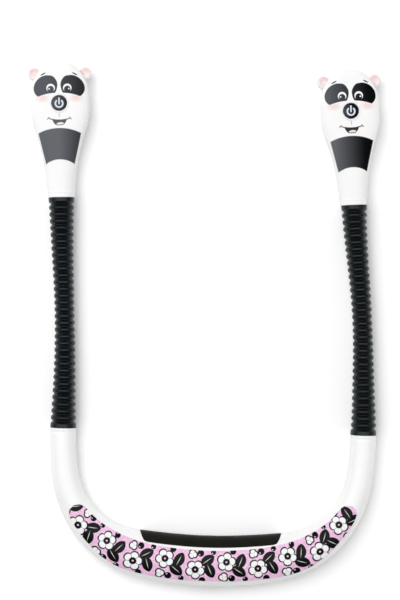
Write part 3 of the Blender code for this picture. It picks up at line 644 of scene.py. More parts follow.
def armPivots(side):
    # Places of the joints along the straight links, ending with the base of the head
    pivots = [legEnd(side)]
    for ribs, heading in zip(armSizes["ribsInLink"], armSizes[side + "Headings"]):
        pivots.append(pivots[-1] + wayOf(heading) * ribPitch * ribs)
    return pivots[1:]


def ribShrink(off):
    return 1 - off * armSizes["ribDepth"] / armSizes["endRadius"]


def buildRib():
    # One rib, a unit in radius at its crest, along X
    rib = addPiece(bpy.ops.mesh.primitive_circle_add, "rib", vertices=armSizes["sides"], radius=1,
                   rotation=(0, pi / 2, 0))
    startEdit(rib, "SELECT")
    last, radius = 0.0, 1.0
    for share, off in armSizes["ribShape"]:
        if share > 0:
            extrudeBy((share - last) * ribPitch, 0, 0)
        wanted = ribShrink(off)
        resizeAbout((share * ribPitch, 0, 0), 1, wanted / radius, wanted / radius)
        last, radius = share, wanted
    endEdit()
    return rib


def buildSleeves(side, rib):
    points = armPoints(side)
    radii = [crestRadius(armLength * i / (len(points) - 1)) for i in range(len(points))]
    path = makePath(side + "ArmPath", points, radii)
    pivots = armPivots(side)
    for number, (first, last) in enumerate(zip(pieceRibs, pieceRibs[1:])):
        link = number + 1
        sleeve = copyOf(rib, f"{side}Sleeve{link}")
        applyModifier(sleeve, "ARRAY", count=round(last - first), use_relative_offset=False,
                      use_constant_offset=True, constant_offset_displace=(ribPitch, 0, 0),
                      use_merge_vertices=True, merge_threshold=near["points"])
        moveAll(sleeve, (first * ribPitch, 0, 0))
        flareRims(sleeve, first == 0, last == ribCount)
        outwardNormals(sleeve)
        followPath(sleeve, path)
        thicken(sleeve, armSizes["sleeveWall"], use_even_offset=True)
        smoothShade(sleeve, 60)
        reach = armSizes["blendReach"] * ribPitch * min(last - jointRibs[number], jointRibs[number] - first)
        way = (pivots[number] - (pivots[number - 1] if number else points[0])).normalized()
        stoodFor = [f"{side}_sleeve_{link}"] + ([f"{side}_sleeve_{link + 1}"] if link == len(jointRibs) else [])
        dress(sleeve, plain["sleeveRubber"], None, stoodFor)
        pivots[number] - way * reach
        pivots[number] + way * reach
        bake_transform(sleeve)
    discard(path)


def flareRims(sleeve, atStart, atEnd):
    # The sleeve's two ends are full-width rims, close against the white parts
    startEdit(sleeve)
    for place in ([0.0] if atStart else []) + ([armLength] if atEnd else []):
        for share, off in armSizes["ribShape"]:
            if share > armSizes["rimShare"]:
                break
            for spot in {place + share * ribPitch, place - share * ribPitch}:
                pick(sleeve, lambda co: abs(co.x - spot) < near["rings"])
                resizeAbout((spot, 0, 0), 1, 1 / ribShrink(off), 1 / ribShrink(off))
        pick(sleeve, lambda co: abs(co.x - place) < near["rings"])
        shiftBy(copysign(armSizes["rimGap"], armLength / 2 - place), 0, 0)
    endEdit()


rib = buildRib()
for side in sides:
    buildSleeves(side, rib)
discard(rib)
print("sleeves finished")

labelSizes = {
    "halfLength": 0.095, "shift": 0.002, "endReach": 0.008, "endPower": 2.4, "endMost": 0.9995,
    # Share of the band's half length, and the label's outer and inner edges as shares of its half width
    "outerShares": ((0.0, -0.727), (0.3, -0.784), (0.38, -0.8), (0.45, -0.754), (0.53, -0.66), (0.61, -0.627),
                    (0.8, -0.6)),
    "innerShares": ((0.0, 0.48), (0.23, 0.514), (0.34, 0.6), (0.45, 0.656), (0.53, 0.643), (0.61, 0.6), (0.8, 0.56)),
    "thickness": 0.0002, "lift": 0.00004, "above": 0.04, "columns": 190, "rows": 10,
}


def labelSpan(station):
    # Lowest and highest place across the band at a station
    halfWidth = bandHalfSize(station)[0]
    share = abs(station) / bandHalfLength
    outer = halfWidth * smoothShare(labelSizes["outerShares"], share)
    inner = halfWidth * smoothShare(labelSizes["innerShares"], share)
    straight = labelSizes["halfLength"] - labelSizes["endReach"]
    past = min(max(abs(station - labelSizes["shift"]) - straight, 0) / labelSizes["endReach"], labelSizes["endMost"])
    half = (inner - outer) / 2 * (1 - past ** labelSizes["endPower"]) ** (1 / labelSizes["endPower"])
    return (inner + outer) / 2 - half, (inner + outer) / 2 + half


def buildLabel():
    columns, shift = labelSizes["columns"], labelSizes["shift"]
    label = addPiece(bpy.ops.mesh.primitive_grid_add, "printLabel", (labelSizes["halfLength"], 1, 1),
                     x_subdivisions=columns, y_subdivisions=labelSizes["rows"], size=2)
    spacing = 2 * labelSizes["halfLength"] / columns
    moveAll(label, (shift, 0, 0))
    startEdit(label)
    for column in range(columns + 1):
        station = spacing * (column - columns / 2) + shift
        low, high = labelSpan(station)
        pick(label, lambda co: abs(co.x - station) < spacing / 4)
        resizeAbout((station, 0, 0), 1, (high - low) / 2, 1)
        shiftBy(0, (low + high) / 2, 0)
    endEdit()
    # The flat sheet's own places, in millimetres, go into its UV map before it is bent
    layer = label.data.uv_layers.active.data
    for loop in label.data.loops:
        co = label.data.vertices[loop.vertex_index].co
        layer[loop.index].uv = (co.x * 1000, co.y * 1000)
    moveAll(label, (bandHalfLength, 0, labelSizes["above"]))
    followPath(label, bandPath)
    applyModifier(label, "SHRINKWRAP", target=upperShell, wrap_method="PROJECT", use_project_z=True,
                  use_negative_direction=True, use_positive_direction=False, offset=labelSizes["lift"])
    thicken(label, labelSizes["thickness"], 1)
    smoothShade(label, 50)
    return label


label = buildLabel()
discard(bandPath)
print("label laid on the band")

# A head is modelled flat with the neck's end at the origin and the crown towards +Y
headSizes = {
    "length": 0.0814, "halfWidth": 0.0176, "halfDepth": 0.0085, "neckRadius": 0.00805, "wall": 0.0018,
    "seam": 0.0003, "edgeRound": 0.0003,
    # Share of the length from the crown, and half width there
    "crownOutline": ((0.0, 0.0), (0.0043, 0.185), (0.015, 0.345), (0.032, 0.5), (0.059, 0.636), (0.1, 0.8),
                     (0.15, 0.907), (0.2, 0.96), (0.27, 0.997), (0.34, 1.0)),
    "neckOutline": ((0.34, 1.0), (0.405, 0.968), (0.5, 0.758), (0.617, 0.465), (0.73, 0.257), (0.877, 0.09),
                    (1.0, 0.0)),
    "squareShares": ((0.0, 1.0), (0.45, 1.0), (0.62, 0.7), (0.8, 0.0), (1.0, 0.0)), "squareEnd": 0.02,
    "crownDepth": 0.007, "crownPower": 2.6, "crownPoke": 0.00002,
    "cornerShare": 0.6, "arcSteps": 12, "flatCuts": 5,
    "ringShares": (0.0003, 0.0012, 0.0025, 0.0043, 0.007, 0.0105, 0.015, 0.021, 0.028, 0.037, 0.047, 0.059, 0.073,
                   0.087, 0.1, 0.12, 0.14, 0.165, 0.19, 0.22, 0.25, 0.28, 0.31, 0.34, 0.37, 0.4, 0.43, 0.46, 0.49,
                   0.52, 0.55, 0.58, 0.61, 0.64, 0.67, 0.7, 0.73, 0.76, 0.79, 0.82, 0.85, 0.88, 0.91, 0.94, 0.962),
    "buttonShare": 0.3127, "lensShare": 0.276, "screwShare": 0.64, "earShare": 0.0885,
    "windowWidth": 0.0107, "windowLength": 0.0137, "rebate": 0.0013, "rebateDepth": 0.0008,
}
buttonSizes = {
    "radius": 0.0044, "gap": 0.0003, "rise": 0.0004, "edge": 0.0005, "edgeSteps": 4, "edgeFrom": 1.6,
    # The dish: its depth, its smallest ring, and a ring between as shares of the radius and of the depth
    "dish": 0.0002, "middle": 0.0003, "dishRing": (0.5, 0.7),
    "flangeRadius": 0.0053, "flangeTop": 0.0064, "flangeHeight": 0.0008, "stemRadius": 0.0012, "stemEnd": 0.0035,
    "bezelInner": 0.0047, "bezelOuter": 0.0058, "bezelHeight": 0.0004, "bezelRound": 0.00018,
    # Steps of the bezel's two round edges, inwards and down, as shares of their size
    "innerEdge": ((0, 1), (0.3, 0.3), (1, 0)), "outerEdge": ((1.6, 0), (0.5, 0.5), (0, 1.8)),
}
lensSizes = {
    "halfWidth": 0.0117, "halfLength": 0.0147, "low": -0.0074, "thickness": 0.0016, "edge": 0.0004,
    # How far each ring of the domed front shrinks, and twice its drop
    "dome": ((0.96, 0.0), (0.82, 0.00022), (0.6, 0.00036), (0.3, 0.00045)),
}
earSizes = {
    "radius": 0.0038, "across": 0.0154, "halfDepth": 0.003, "clear": 0.0002,
    "dish": 0.0006, "dishRadius": 0.0024, "middle": 0.0002, "dishRing": (0.7, 0.8),
    # Shares of the radius and of the half depth, from the dish to half height
    "rim": ((0.62, 1.0), (0.8, 0.97), (0.92, 0.84), (0.98, 0.62), (1.0, 0.35), (1.0, 0.0)),
}
headings = {side: armSizes[side + "Headings"][-1] for side in sides}
headBases = {side: armPivots(side)[-1] for side in sides}


def along(share):
    return headSizes["length"] * (1 - share)


def headHalfWidth(share):
    if share < headSizes["crownOutline"][1][0]:
        place, width = headSizes["crownOutline"][1]
        return headSizes["halfWidth"] * width * sqrt(share / place)
    if share <= headSizes["crownOutline"][-1][0]:
        return headSizes["halfWidth"] * smoothShare(headSizes["crownOutline"], share)
    past = smoothShare(headSizes["neckOutline"], share)
    return headSizes["neckRadius"] + (headSizes["halfWidth"] - headSizes["neckRadius"]) * past


def headHalfDepth(share):
    square = smoothShare(headSizes["squareShares"], share)
    half = headSizes["neckRadius"] + (headSizes["halfDepth"] - headSizes["neckRadius"]) * square
    depth = share * headSizes["length"] / headSizes["crownDepth"]
    if depth < 1:
        half *= (1 - (1 - depth) ** headSizes["crownPower"]) ** (1 / headSizes["crownPower"])
    return half


def buildHeadForm():
    length = headSizes["length"]
    form = addRing("headForm", (pi / 2, 0, 0), headSizes)
    rings = []
    square = 1.0
    for share in headSizes["ringShares"]:
        newSquare = max(smoothShare(headSizes["squareShares"], share), 0)
        roundBy = 1 - newSquare / square if square > headSizes["squareEnd"] else 1.0
        square = min(newSquare, square)
        rings.append((-share * length, headHalfWidth(share), headHalfDepth(share), max(roundBy, 0)))
    for back, drawn in bandSizes["collar"]:
        radius = headHalfWidth(1 - back / length) - drawn
        rings.append((back - length, radius, radius, 1.0))
    growRings(form, "Y", rings)
    pick(form, lambda co: abs(co.y - rings[0][0]) < near["points"])
    bpy.ops.mesh.edge_face_add()
    bpy.ops.mesh.poke(offset=headSizes["crownPoke"])
    endEdit()
    moveAll(form, (0, length, 0))
    outwardNormals(form)
    return form


def addOval(name, halfWidth, halfLength, low, high, share, sides=64):
    return addPiece(bpy.ops.mesh.primitive_cylinder_add, name, (halfWidth, halfLength, 1), vertices=sides, radius=1,
                    depth=high - low, location=(0, along(share), (low + high) / 2))


def growTurned(name, profile, centre, sides=64):
    # Rings of (radius, height) about an upright axis, closed over by caps
    radius, height = profile[0]
    piece = addPiece(bpy.ops.mesh.primitive_circle_add, name, vertices=sides, radius=radius,
                     location=(*centre, height))
    startEdit(piece, "SELECT")
    for newRadius, newHeight in profile[1:]:
        extrudeBy(0, 0, newHeight - height)
        resizeAbout((*centre, newHeight), newRadius / radius, newRadius / radius, 1)
        radius, height = newRadius, newHeight
    bpy.ops.mesh.select_all(action="SELECT")
    bpy.ops.mesh.remove_doubles(threshold=near["points"])
    bpy.ops.mesh.fill_holes(sides=0)
    endEdit()
    outwardNormals(piece)
    return piece


def buildHeadShells():
    face, back = copyOf(headForm, "faceShell"), copyOf(headForm, "backShell")
    for shell, way in ((face, 1), (back, -1)):
        keepHalf(shell, 0, way, headSizes)
    half, width, length = headSizes["halfDepth"], headSizes["windowWidth"], headSizes["windowLength"]
    ledge, lensShare = headSizes["rebate"], headSizes["lensShare"]
    hole = buttonSizes["radius"] + buttonSizes["gap"]
    recess = holeSizes["screwHead"] + holeSizes["gap"]
    deep = holeSizes["recessDepth"] - headHalfDepth(headSizes["screwShare"])
    cutAway(face, addOval("buttonHole", hole, hole, 0, half * 2, headSizes["buttonShare"]))
    cutAway(back, addOval("window", width, length, -half * 2, 0, lensShare))
    cutAway(back, addOval("rebate", width + ledge, length + ledge, headSizes["rebateDepth"] - half, 0, lensShare))
    cutAway(back, addOval("screwRecess", recess, recess, -half * 2, deep, headSizes["screwShare"], 32))
    for shell in (face, back):
        roundEdges(shell, headSizes["edgeRound"])
        smoothShade(shell, 35)
    return face, back


def buildButton():
    sizes = buttonSizes
    radius, edge, dish, flange = sizes["radius"], sizes["edge"], sizes["dish"], sizes["flangeTop"]
    top = headSizes["halfDepth"] + sizes["bezelHeight"] + sizes["rise"]
    under = flange - sizes["flangeHeight"]
    ring, deep = sizes["dishRing"]
    profile = [(sizes["middle"], top - dish), (radius * ring, top - dish * deep),
               (radius - edge * sizes["edgeFrom"], top)]
    for step in range(1, sizes["edgeSteps"] + 1):
        turn = pi / 2 * step / sizes["edgeSteps"]
        profile.append((radius - edge + edge * sin(turn), top - edge + edge * cos(turn)))
    profile += [(radius, flange), (sizes["flangeRadius"], flange), (sizes["flangeRadius"], under),
                (sizes["stemRadius"], under), (sizes["stemRadius"], sizes["stemEnd"])]
    button = growTurned("powerButton", profile, (0, along(headSizes["buttonShare"])))
    smoothShade(button, 35)
    return button


def buildBezel():
    inner, outer, edge = buttonSizes["bezelInner"], buttonSizes["bezelOuter"], buttonSizes["bezelRound"]
    skin = headSizes["halfDepth"]
    low, high = skin - headSizes["wall"] / 2, skin + buttonSizes["bezelHeight"]
    profile = [(inner, low)]
    for start, way, steps in ((inner, 1, "innerEdge"), (outer, -1, "outerEdge")):
        profile += [(start + way * edge * inwards, high - edge * down) for inwards, down in buttonSizes[steps]]
    profile += [(outer, low), (inner, low)]
    bezel = growTurned("bezelRing", profile, (0, along(headSizes["buttonShare"])))
    smoothShade(bezel, 35)
    return bezel


def buildLens():
    sizes = lensSizes
    lens = addOval("lens", sizes["halfWidth"], sizes["halfLength"], sizes["low"], sizes["low"] + sizes["thickness"],
                   headSizes["lensShare"])
    startEdit(lens)
    pick(lens, lambda face: face.normal.z < -0.9, "FACE")
    middle = (0, along(headSizes["lensShare"]), sizes["low"])
    for shrink, drop in sizes["dome"]:
        bpy.ops.mesh.inset(thickness=0)
        resizeAbout(middle, shrink, shrink, 1)
        shiftBy(0, 0, -drop / 2)
    endEdit()
    outwardNormals(lens)
    roundEdges(lens, sizes["edge"], 3, 50)
    smoothShade(lens)
    return lens


def buildEar(across):
    sizes = earSizes
    half, dish = sizes["halfDepth"], sizes["dish"]
    upper = [(share * sizes["radius"], height * half) for share, height in sizes["rim"]]
    lower = [(radius, -height) for radius, height in reversed(upper[:-1])]
    ring, deep = sizes["dishRing"]
    profile = [(sizes["middle"], half - dish), (sizes["dishRadius"] * ring, half - dish * deep)] + upper + lower
    ear = growTurned("ear", profile, (across, along(headSizes["earShare"])), 48)
    applyModifier(ear, "BOOLEAN", operation="DIFFERENCE", solver="EXACT", object=headForm)
    smoothShade(ear)
    return ear


headForm = buildHeadForm()
print("head lofted")
faceShell, backShell = buildHeadShells()
button = buildButton()
bezel = buildBezel()
lens = buildLens()
applyModifier(headForm, "DISPLACE", strength=earSizes["clear"], mid_level=0)
ears = {turn: buildEar(sign * earSizes["across"]) for sign, turn in ((-1, "left"), (1, "right"))}
print("head pieces modelled")

# The prints on the heads; the dark ones fade from grey to black between two places in millimetres across the head, a
# painted reflection of the light
faceColours = {
    "shell": (0.9, 0.9, 0.895, 1), "shellTint": (0.91, 0.91, 0.906, 1), "rim": (0.8, 0.8, 0.81, 1),
    "grey": (0.091, 0.095, 0.108, 1), "chestSheenGrey": (0.122, 0.128, 0.141, 1), "black": (0.0012, 0.0014, 0.002, 1),
    "white": (0.88, 0.89, 0.9, 1), "symbol": (0.66, 0.72, 0.79, 1), "brow": (0.05, 0.05, 0.055, 1),
    "blush": (0.86, 0.6, 0.58, 1), "tongue": (0.86, 0.76, 0.76, 1),
    "ear": (0.87, 0.64, 0.63, 1), "earTint": (0.88, 0.72, 0.715, 1),
    # Painted reflection: the lines are greyer on the left head than on the right, and the grey-to-black fades of the
    # chest, eye patches and button sit where the softbox's reflection falls on each head
    "line": {"left": (0.11, 0.11, 0.12, 1), "right": (0.03, 0.03, 0.034, 1)},
    "chestSheenFade": {"left": (0.0, 25.0), "right": (-10.0, 8.5)},
    "eyeSheenFade": {"left": (-7.0, 28.0), "right": (-13.0, 11.0)}, "sheenPower": 1.5,
    "sheenUneven": 0.6, "blushShare": 0.7, "noseShare": 0.5,
    "buttonSheenFade": {"left": (-4.0, 8.0), "right": (-6.5, 0.5)},
    "faceGrain": (0.0012, 0.000004, 0.24, 0.02), "faceGloss": 0.05, "printMatt": 0.25,
    "buttonGrain": (0.0005, 0.00001, 0.34, 0.05), "buttonGloss": 0.07, "earGrain": (0.0006, 0.00001, 0.38, 0.05),
}
# Ellipses in millimetres across and down from the crown: middle, half sizes, and where it differs turn and soft edge
faceSpots = {
    "blush": ((10.0, 22.5), (3.1, 1.9), 0, 1.2),
    "patch": ((8.1, 15.6), (7.5, 6.4), 34.0), "patchInner": ((5.3, 15.0), (4.25, 6.0)),
    "cheek": ((1.4, 49.6), (30.2, 30.2)),
    "eye": ((4.95, 16.5), (2.55, 2.55)), "pupil": ((4.95, 17.35), (1.95, 2.15)), "glint": ((5.85, 16.95), (0.45, 0.45)),
    "brow": ((9.45, 8.1), (1.7, 0.42), 26.0),
    "noseLine": ((0, 32.6), (0.26, 1.2)), "smile": ((6.6, 34.5), (1.1, 0.26), 48.0),
    "mouth": ((0.1, 33.7), (4.5, 5.5)), "jaw": ((0.1, 18.8), (20.0, 20.0)),
    "tongue": ((0.8, 39.3), (3.1, 2.4)), "tongueSides": ((0.1, 33.5), (4.2, 5.2)),
    "tongueLow": ((0.1, 18.3), (20.0, 20.0)),
    "chestTop": ((0, 69.0), (28.6, 28.6)), "chestLow": ((0, 73.8), (14.8, 14.8)),
    "rimTop": ((0, 69.0), (29.0, 29.0)), "rimLow": ((0, 73.8), (14.4, 14.4)),
    "earPink": ((15.0, -1.0), (3.4, 3.4), 0.0, 1.3),
}
faceLines = {
    "lip": ((0, 15.3), (20.3, 20.3)), "lipHalf": 0.015, "lipSoft": 0.006, "lipEnd": (6.2, 0.3),
    "lipAbove": (31.8, 32.2), "lipBelow": (0.996, 1.004),
    "chestHalf": 12.75, "rimHalf": 13.2, "chestFrom": 43.2, "chestTaper": 0.232, "frontHeights": (0.0118, 0.0122),
    # The button's symbol: its middle as a share of the head, ring, gap in degrees, and bar
    "symbolShare": 0.004, "ring": 2.2, "ringHalf": 0.5, "ringGap": 35, "gapAbove": (-0.1, 0.1),
    "barHalf": 0.46, "barTop": (-3.6, -3.4), "barLow": 0.5,
}


def onHead(side, share):
    # Millimetres across and down from a point on the head's middle line
    start = headBases[side] + wayOf(headings[side]) * along(share)
    return split(addNode("Mapping", {"Vector": objectPlace(), "Location": start,
                                     "Rotation": (0, 0, radians(headings[side])),
                                     "Scale": (0.001, -0.001, 0.001)}, vector_type="TEXTURE"))


def faceFinish(side):
    material = newMaterial(side + "FacePrint")
    x, t, _ = onHead(side, 0.0)
    away = abs(x)
    mirrored, straight = join(away, t), join(x, t)

    def spot(name, source=mirrored):
        return spotMask(source, *faceSpots[name])

    patches = mottled(objectPlace())
    shell = paint(faceColours["shell"], faceColours["shellTint"], patches)
    line = faceColours["line"][side]
    # Painted reflection: the chest and eye patches run from grey on the lit side to black, along an edge wobbled by the
    # shell's patches
    sheenAcross = x + patches * faceColours["sheenUneven"]
    chestSheenDark, eyeSheenDark = [paint(faceColours["black"], faceColours[grey],
                                calculate("POWER", spread(sheenAcross, 1.0, 0.0, *faceColours[sheenFade][side]),
                                          faceColours["sheenPower"]))
                          for grey, sheenFade in (("chestSheenGrey", "chestSheenFade"), ("grey", "eyeSheenFade"))]

    patch = without(spot("patch") | spot("patchInner"), spot("cheek"))
    lip = lengthOf(unitSpot(mirrored, *faceLines["lip"]))
    lipLine = (belowLine(abs(lip - 1.0), faceLines["lipHalf"], faceLines["lipSoft"])
               * belowLine(away, *faceLines["lipEnd"]) * spread(t, 0.0, 1.0, *faceLines["lipAbove"]))
    mouth = spot("mouth", straight) * spot("jaw", straight) * spread(lip, 0.0, 1.0, *faceLines["lipBelow"])
    tongue = spot("tongueSides", straight) * spot("tongueLow", straight) * spot("tongue", straight)
    reach = away + (t - faceLines["chestFrom"]) * faceLines["chestTaper"]
    chest, rim = [without(spot(name + "Top") * belowLine(reach, faceLines[name + "Half"]), spot(name + "Low"))
                  for name in ("chest", "rim")]

    white, blush = faceColours["white"], spot("blush") * faceColours["blushShare"]
    colour = paintLayers(shell, (
        (faceColours["blush"], blush), (eyeSheenDark, patch), (white, spot("eye")), (eyeSheenDark, spot("pupil")),
        (white, spot("glint")), (faceColours["brow"], spot("brow")),
        (line, spot("noseLine") * faceColours["noseShare"]), (line, mouth), (faceColours["tongue"], tongue),
        (line, lipLine), (line, spot("smile")), (faceColours["rim"], rim), (chestSheenDark, chest)))
    # Nothing is printed on the shell's sides
    front = spread(split(objectPlace())[2], 0.0, 1.0, *faceLines["frontHeights"])
    matt = (patch | chest) * front * faceColours["printMatt"]
    return coat(material, paint(shell, colour, front), faceColours["faceGrain"],
                {"Specular IOR Level": faceColours["faceGloss"]}, matt=matt)


def buttonFinish(side):
    material = newMaterial(side + "ButtonFace")
    x, t, _ = onHead(side, headSizes["buttonShare"] + faceLines["symbolShare"])
    away = abs(x)
    ring = belowLine(abs(lengthOf(join(x, t)) - faceLines["ring"]), faceLines["ringHalf"])
    slope = tan(radians(faceLines["ringGap"]))
    gap = spread(t, 1.0, 0.0, *faceLines["gapAbove"]) * belowLine(away + t * slope, 0.0)
    bar = (belowLine(away, faceLines["barHalf"]) * spread(t, 0.0, 1.0, *faceLines["barTop"])
           * belowLine(t, faceLines["barLow"]))
    # Painted reflection: the button runs from grey on its lit side to black
    sheenAcross = x + mottled(objectPlace(), 300.0, 3.0, faceColours["sheenUneven"])
    colour = paint(faceColours["grey"], faceColours["black"],
                   spread(sheenAcross, 0.0, 1.0, *faceColours["buttonSheenFade"][side]))
    return coat(material, paint(colour, faceColours["symbol"], without(ring, gap) | bar), faceColours["buttonGrain"],
                {"Specular IOR Level": faceColours["buttonGloss"]})


def earFinish(side):
    material = newMaterial(side + "EarPink")
    x, t, _ = onHead(side, headSizes["earShare"])
    tone = paint(faceColours["ear"], faceColours["earTint"], mottled(objectPlace(), 500.0, 3.0))
    pink = spotMask(join(abs(x), t), *faceSpots["earPink"])
    return coat(material, paint(faceColours["shell"], tone, pink), faceColours["earGrain"])


def copyToHead(piece, name, side, material, body, nodes=()):
    made = copyOf(piece, name)
    made.location = headBases[side]
    made.rotation_euler = (0, 0, radians(headings[side]))
    applyPlace(made)
    dress(made, material, body, nodes)


for side in sides:
    head = side + "_head"
    copyToHead(faceShell, side + "FaceShell", side, faceFinish(side), head, [side + "_face_shell"])
    copyToHead(backShell, side + "BackShell", side, plain["whiteShell"], head, [side + "_back_shell"])
    copyToHead(bezel, side + "Bezel", side, plain["bezelWhite"], head)
    copyToHead(button, side + "PowerButton", side, buttonFinish(side), side + "_button",
               [side + "_power_button"])
    copyToHead(lens, side + "Lens", side, plain["lensMilk"], head, [side + "_lens"])
    earPaint = earFinish(side)
    for turn, ear in ears.items():
        copyToHead(ear, f"{side}Head{turn.capitalize()}ear", side, earPaint, head,
                   [f"{side}_head_{turn}_ear"])
discard(headForm, faceShell, backShell, bezel, button, lens, *ears.values())
print("heads finished")

# The label's print: flowers, leaves and berries scattered on lilac pink
printColours = {
    "ground": (0.81, 0.46, 0.69, 1), "mottle": (0.85, 0.55, 0.76, 1), "bubble": (0.88, 0.68, 0.83, 1),
    "dark": (0.003, 0.003, 0.0035, 1), "white": (0.9, 0.9, 0.9, 1),
    "grain": (0.0008, 0.000006, 0.36, 0.04), "gloss": 0.14,
}
# Millimetres within one repeat of the print; every second repeat is turned over
printSizes = {
    "repeat": 18.4, "start": 4.0, "middle": -1.8, "edge": 0.08,
    "petals": 5, "flower": (-3.4, 2.4, 5.2), "outline": 0.85, "heart": 2.1, "heartDot": 0.55, "turns": 6.28,
    # How far in the petals part, and where the creases run: how narrow and how far out
    "petalDip": 0.6, "creaseHalf": (0.13, 0.04), "creaseReach": 0.62, "creaseSoft": 0.3,
    "budPetals": 3, "buds": ((-5.3, -6.6, 2.3),),
    "leaves": ((3.7, -3.3, -36.0), (5.2, 2.6, 66.0)), "leafLength": 9.6, "leafWidth": 6.2,
    "vein": ((-0.4, 0), (2.4, 0.15)),
    "berries": ((0.9, 8.6, 1.9), (-0.5, -7.4, 2.0), (7.2, -8.2, 1.6)), "glint": (0.42, 0.26),
    "glintTurn": 40, "glintOff": (-0.35, 0.4),
    "bubbleRepeat": 4.3, "bubbleRadius": 1.15, "bubbleHalf": (0.045, 0.02), "bubbleStray": 0.7,
    "mottle": (0.5, 3.0), "mottleRange": (0.4, 0.62),
}


def labelPlaces(flat):
    # Place within the repeat that a point is in, and chances of its own for each repeat
    x, y, _ = split(flat)
    count = calculate("DIVIDE", x - printSizes["start"], printSizes["repeat"])
    number = calculate("FLOOR", count)
    flip = 1.0 - calculate("PINGPONG", number, 1.0) * 2.0
    place = join((count - number - 0.5) * printSizes["repeat"], (y - printSizes["middle"]) * flip)
    return place, split(addNode("TexWhiteNoise", {"W": number}, "Color", noise_dimensions="1D"))


def flowerMasks(place, chance, petals, centre, size):
    # Petal outline, petals, and the creases between them
    local = unitSpot(place, centre)
    x, y, _ = split(local)
    angle = calculate("ARCTAN2", y, x) + chance * printSizes["turns"]
    wave = abs(calculate("COSINE", angle * (petals / 2)))
    reach = lengthOf(local)
    over = reach - spread(calculate("POWER", wave, 0.5), size * printSizes["petalDip"], size, 0.0, 1.0)
    inside = belowLine(over, 0.0)
    creases = (inside * belowLine(wave, *printSizes["creaseHalf"])
               * belowLine(reach, size * printSizes["creaseReach"], printSizes["creaseSoft"]))
    return belowLine(over, printSizes["outline"]), inside, creases, reach


def labelFinish():
    material = newMaterial("labelPrint")
    flat = addNode("TexCoord", output="UV")
    place, chances = labelPlaces(flat)
    sizes, edge = printSizes, printSizes["edge"]

    # Pale rings in the ground
    cells = unitSpot(flat, (0, 0), (sizes["bubbleRepeat"], sizes["bubbleRepeat"]))
    distance = addNode("TexVoronoi", {"Vector": cells, "Scale": 1.0, "Randomness": sizes["bubbleStray"]}, "Distance",
                       voronoi_dimensions="2D")
    ring = abs(distance - sizes["bubbleRadius"] / sizes["bubbleRepeat"])
    layers = [("mottle", spread(noise(flat, *sizes["mottle"]), 0.0, 1.0, *sizes["mottleRange"])),
              ("bubble", belowLine(ring, *sizes["bubbleHalf"]))]

    for x, y, radius in sizes["berries"]:
        glint = (x + radius * sizes["glintOff"][0], y + radius * sizes["glintOff"][1])
        layers += [("dark", spotMask(place, (x, y), (radius, radius), 0, edge)),
                   ("white", spotMask(place, glint, sizes["glint"], sizes["glintTurn"], edge))]
    width, length = sizes["leafWidth"] / 2, sizes["leafLength"] / 2
    bow = (length * length / width + width) / 2
    for x, y, turn in sizes["leaves"]:
        turned = unitSpot(place, (x, y), turn=turn)
        above, below = [spotMask(turned, (0, off), (bow, bow), 0, edge) for off in (width - bow, bow - width)]
        layers += [("dark", above * below), ("white", spotMask(turned, *sizes["vein"], 0, edge))]
    for x, y, radius in sizes["buds"]:
        outline, petals, creases, _ = flowerMasks(place, chances[1], sizes["budPetals"], (x, y), radius)
        layers += [("dark", outline), ("white", petals), ("dark", creases)]
    x, y, radius = sizes["flower"]
    outline, petals, creases, reach = flowerMasks(place, chances[0], sizes["petals"], (x, y), radius)
    layers += [("dark", outline), ("white", petals), ("dark", creases), ("dark", belowLine(reach, sizes["heart"])),
               ("mottle", belowLine(reach, sizes["heartDot"]))]

    colour = paintLayers(printColours["ground"], [(printColours[tone], mask) for tone, mask in layers])
    return coat(material, colour, printColours["grain"], {"Specular IOR Level": printColours["gloss"]})


dress(label, labelFinish(), "neck_band", ["print_label"])
print("label printed")

# Each screw has a cross recess for the driver
screwSizes = {
    "headHeight": 0.0012, "shankShare": 0.5, "tipShare": 0.2, "rimShare": 0.86, "rimBend": 0.96, "rimStep": 0.0001,
    "slotLength": 0.0023, "slotWidth": 0.0006, "slotDepth": 0.0008, "footShare": 0.45,
}


def addSlot(centre, length, width):
    # One arm of the cross, narrower at its foot
    depth, foot = screwSizes["slotDepth"], screwSizes["footShare"]
    slot = addPiece(bpy.ops.mesh.primitive_cube_add, "slot", (length, width, depth * 2), size=1, location=centre)
    startEdit(slot)
    pick(slot, lambda co: co.z > centre.z)
    resizeAbout((centre.x, centre.y, centre.z + depth), foot, foot, 1)
    endEdit()
    return slot


def buildScrew(node, body):
    words = node.split("_")
    low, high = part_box(node)
    centre, radius = ((low[0] + high[0]) / 2, (low[1] + high[1]) / 2), (high[0] - low[0]) / 2
    face, seat, tip = low[2], low[2] + screwSizes["headHeight"], high[2]
    rim, shank, step = radius * screwSizes["rimShare"], radius * screwSizes["shankShare"], screwSizes["rimStep"]
    profile = [(rim, face), (radius * screwSizes["rimBend"], face + radius - rim - step),
               (radius, face + radius - rim + step), (radius, seat), (shank, seat), (shank, tip - shank),
               (shank * screwSizes["tipShare"], tip)]
    screw = growTurned(words[0] + "".join(word.capitalize() for word in words[1:]), profile, centre, 32)
    long, narrow = screwSizes["slotLength"], screwSizes["slotWidth"]
    for length, width in ((long, narrow), (narrow, long)):
        cutAway(screw, addSlot(Vector((*centre, face)), length, width))
    smoothShade(screw, 30)
    dress(screw, plain["brushedSteel"], body, [node])


for number in range(1, 5):
    buildScrew(f"band_screw_{number}", "neck_band")
for side in sides:
    buildScrew(side + "_head_screw", side + "_head")
print("screws cut")

# Finishes of the pieces that the frame brings
nodeFinishes = {
    "gooseneck_core": "brushedSteel", "charge_port": "brushedSteel", "charge_indicator": "pipeClear",
    "control_board": "greenBoard", "led_board": "whiteBoard", "battery_cell": "cellWrap", "tact_switch": "switchBlack",
}
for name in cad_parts:
    for part, finish in nodeFinishes.items():
        if part in name:
            bpy.data.objects[name].data.materials.clear()
            bpy.data.objects[name].data.materials.append(plain[finish])

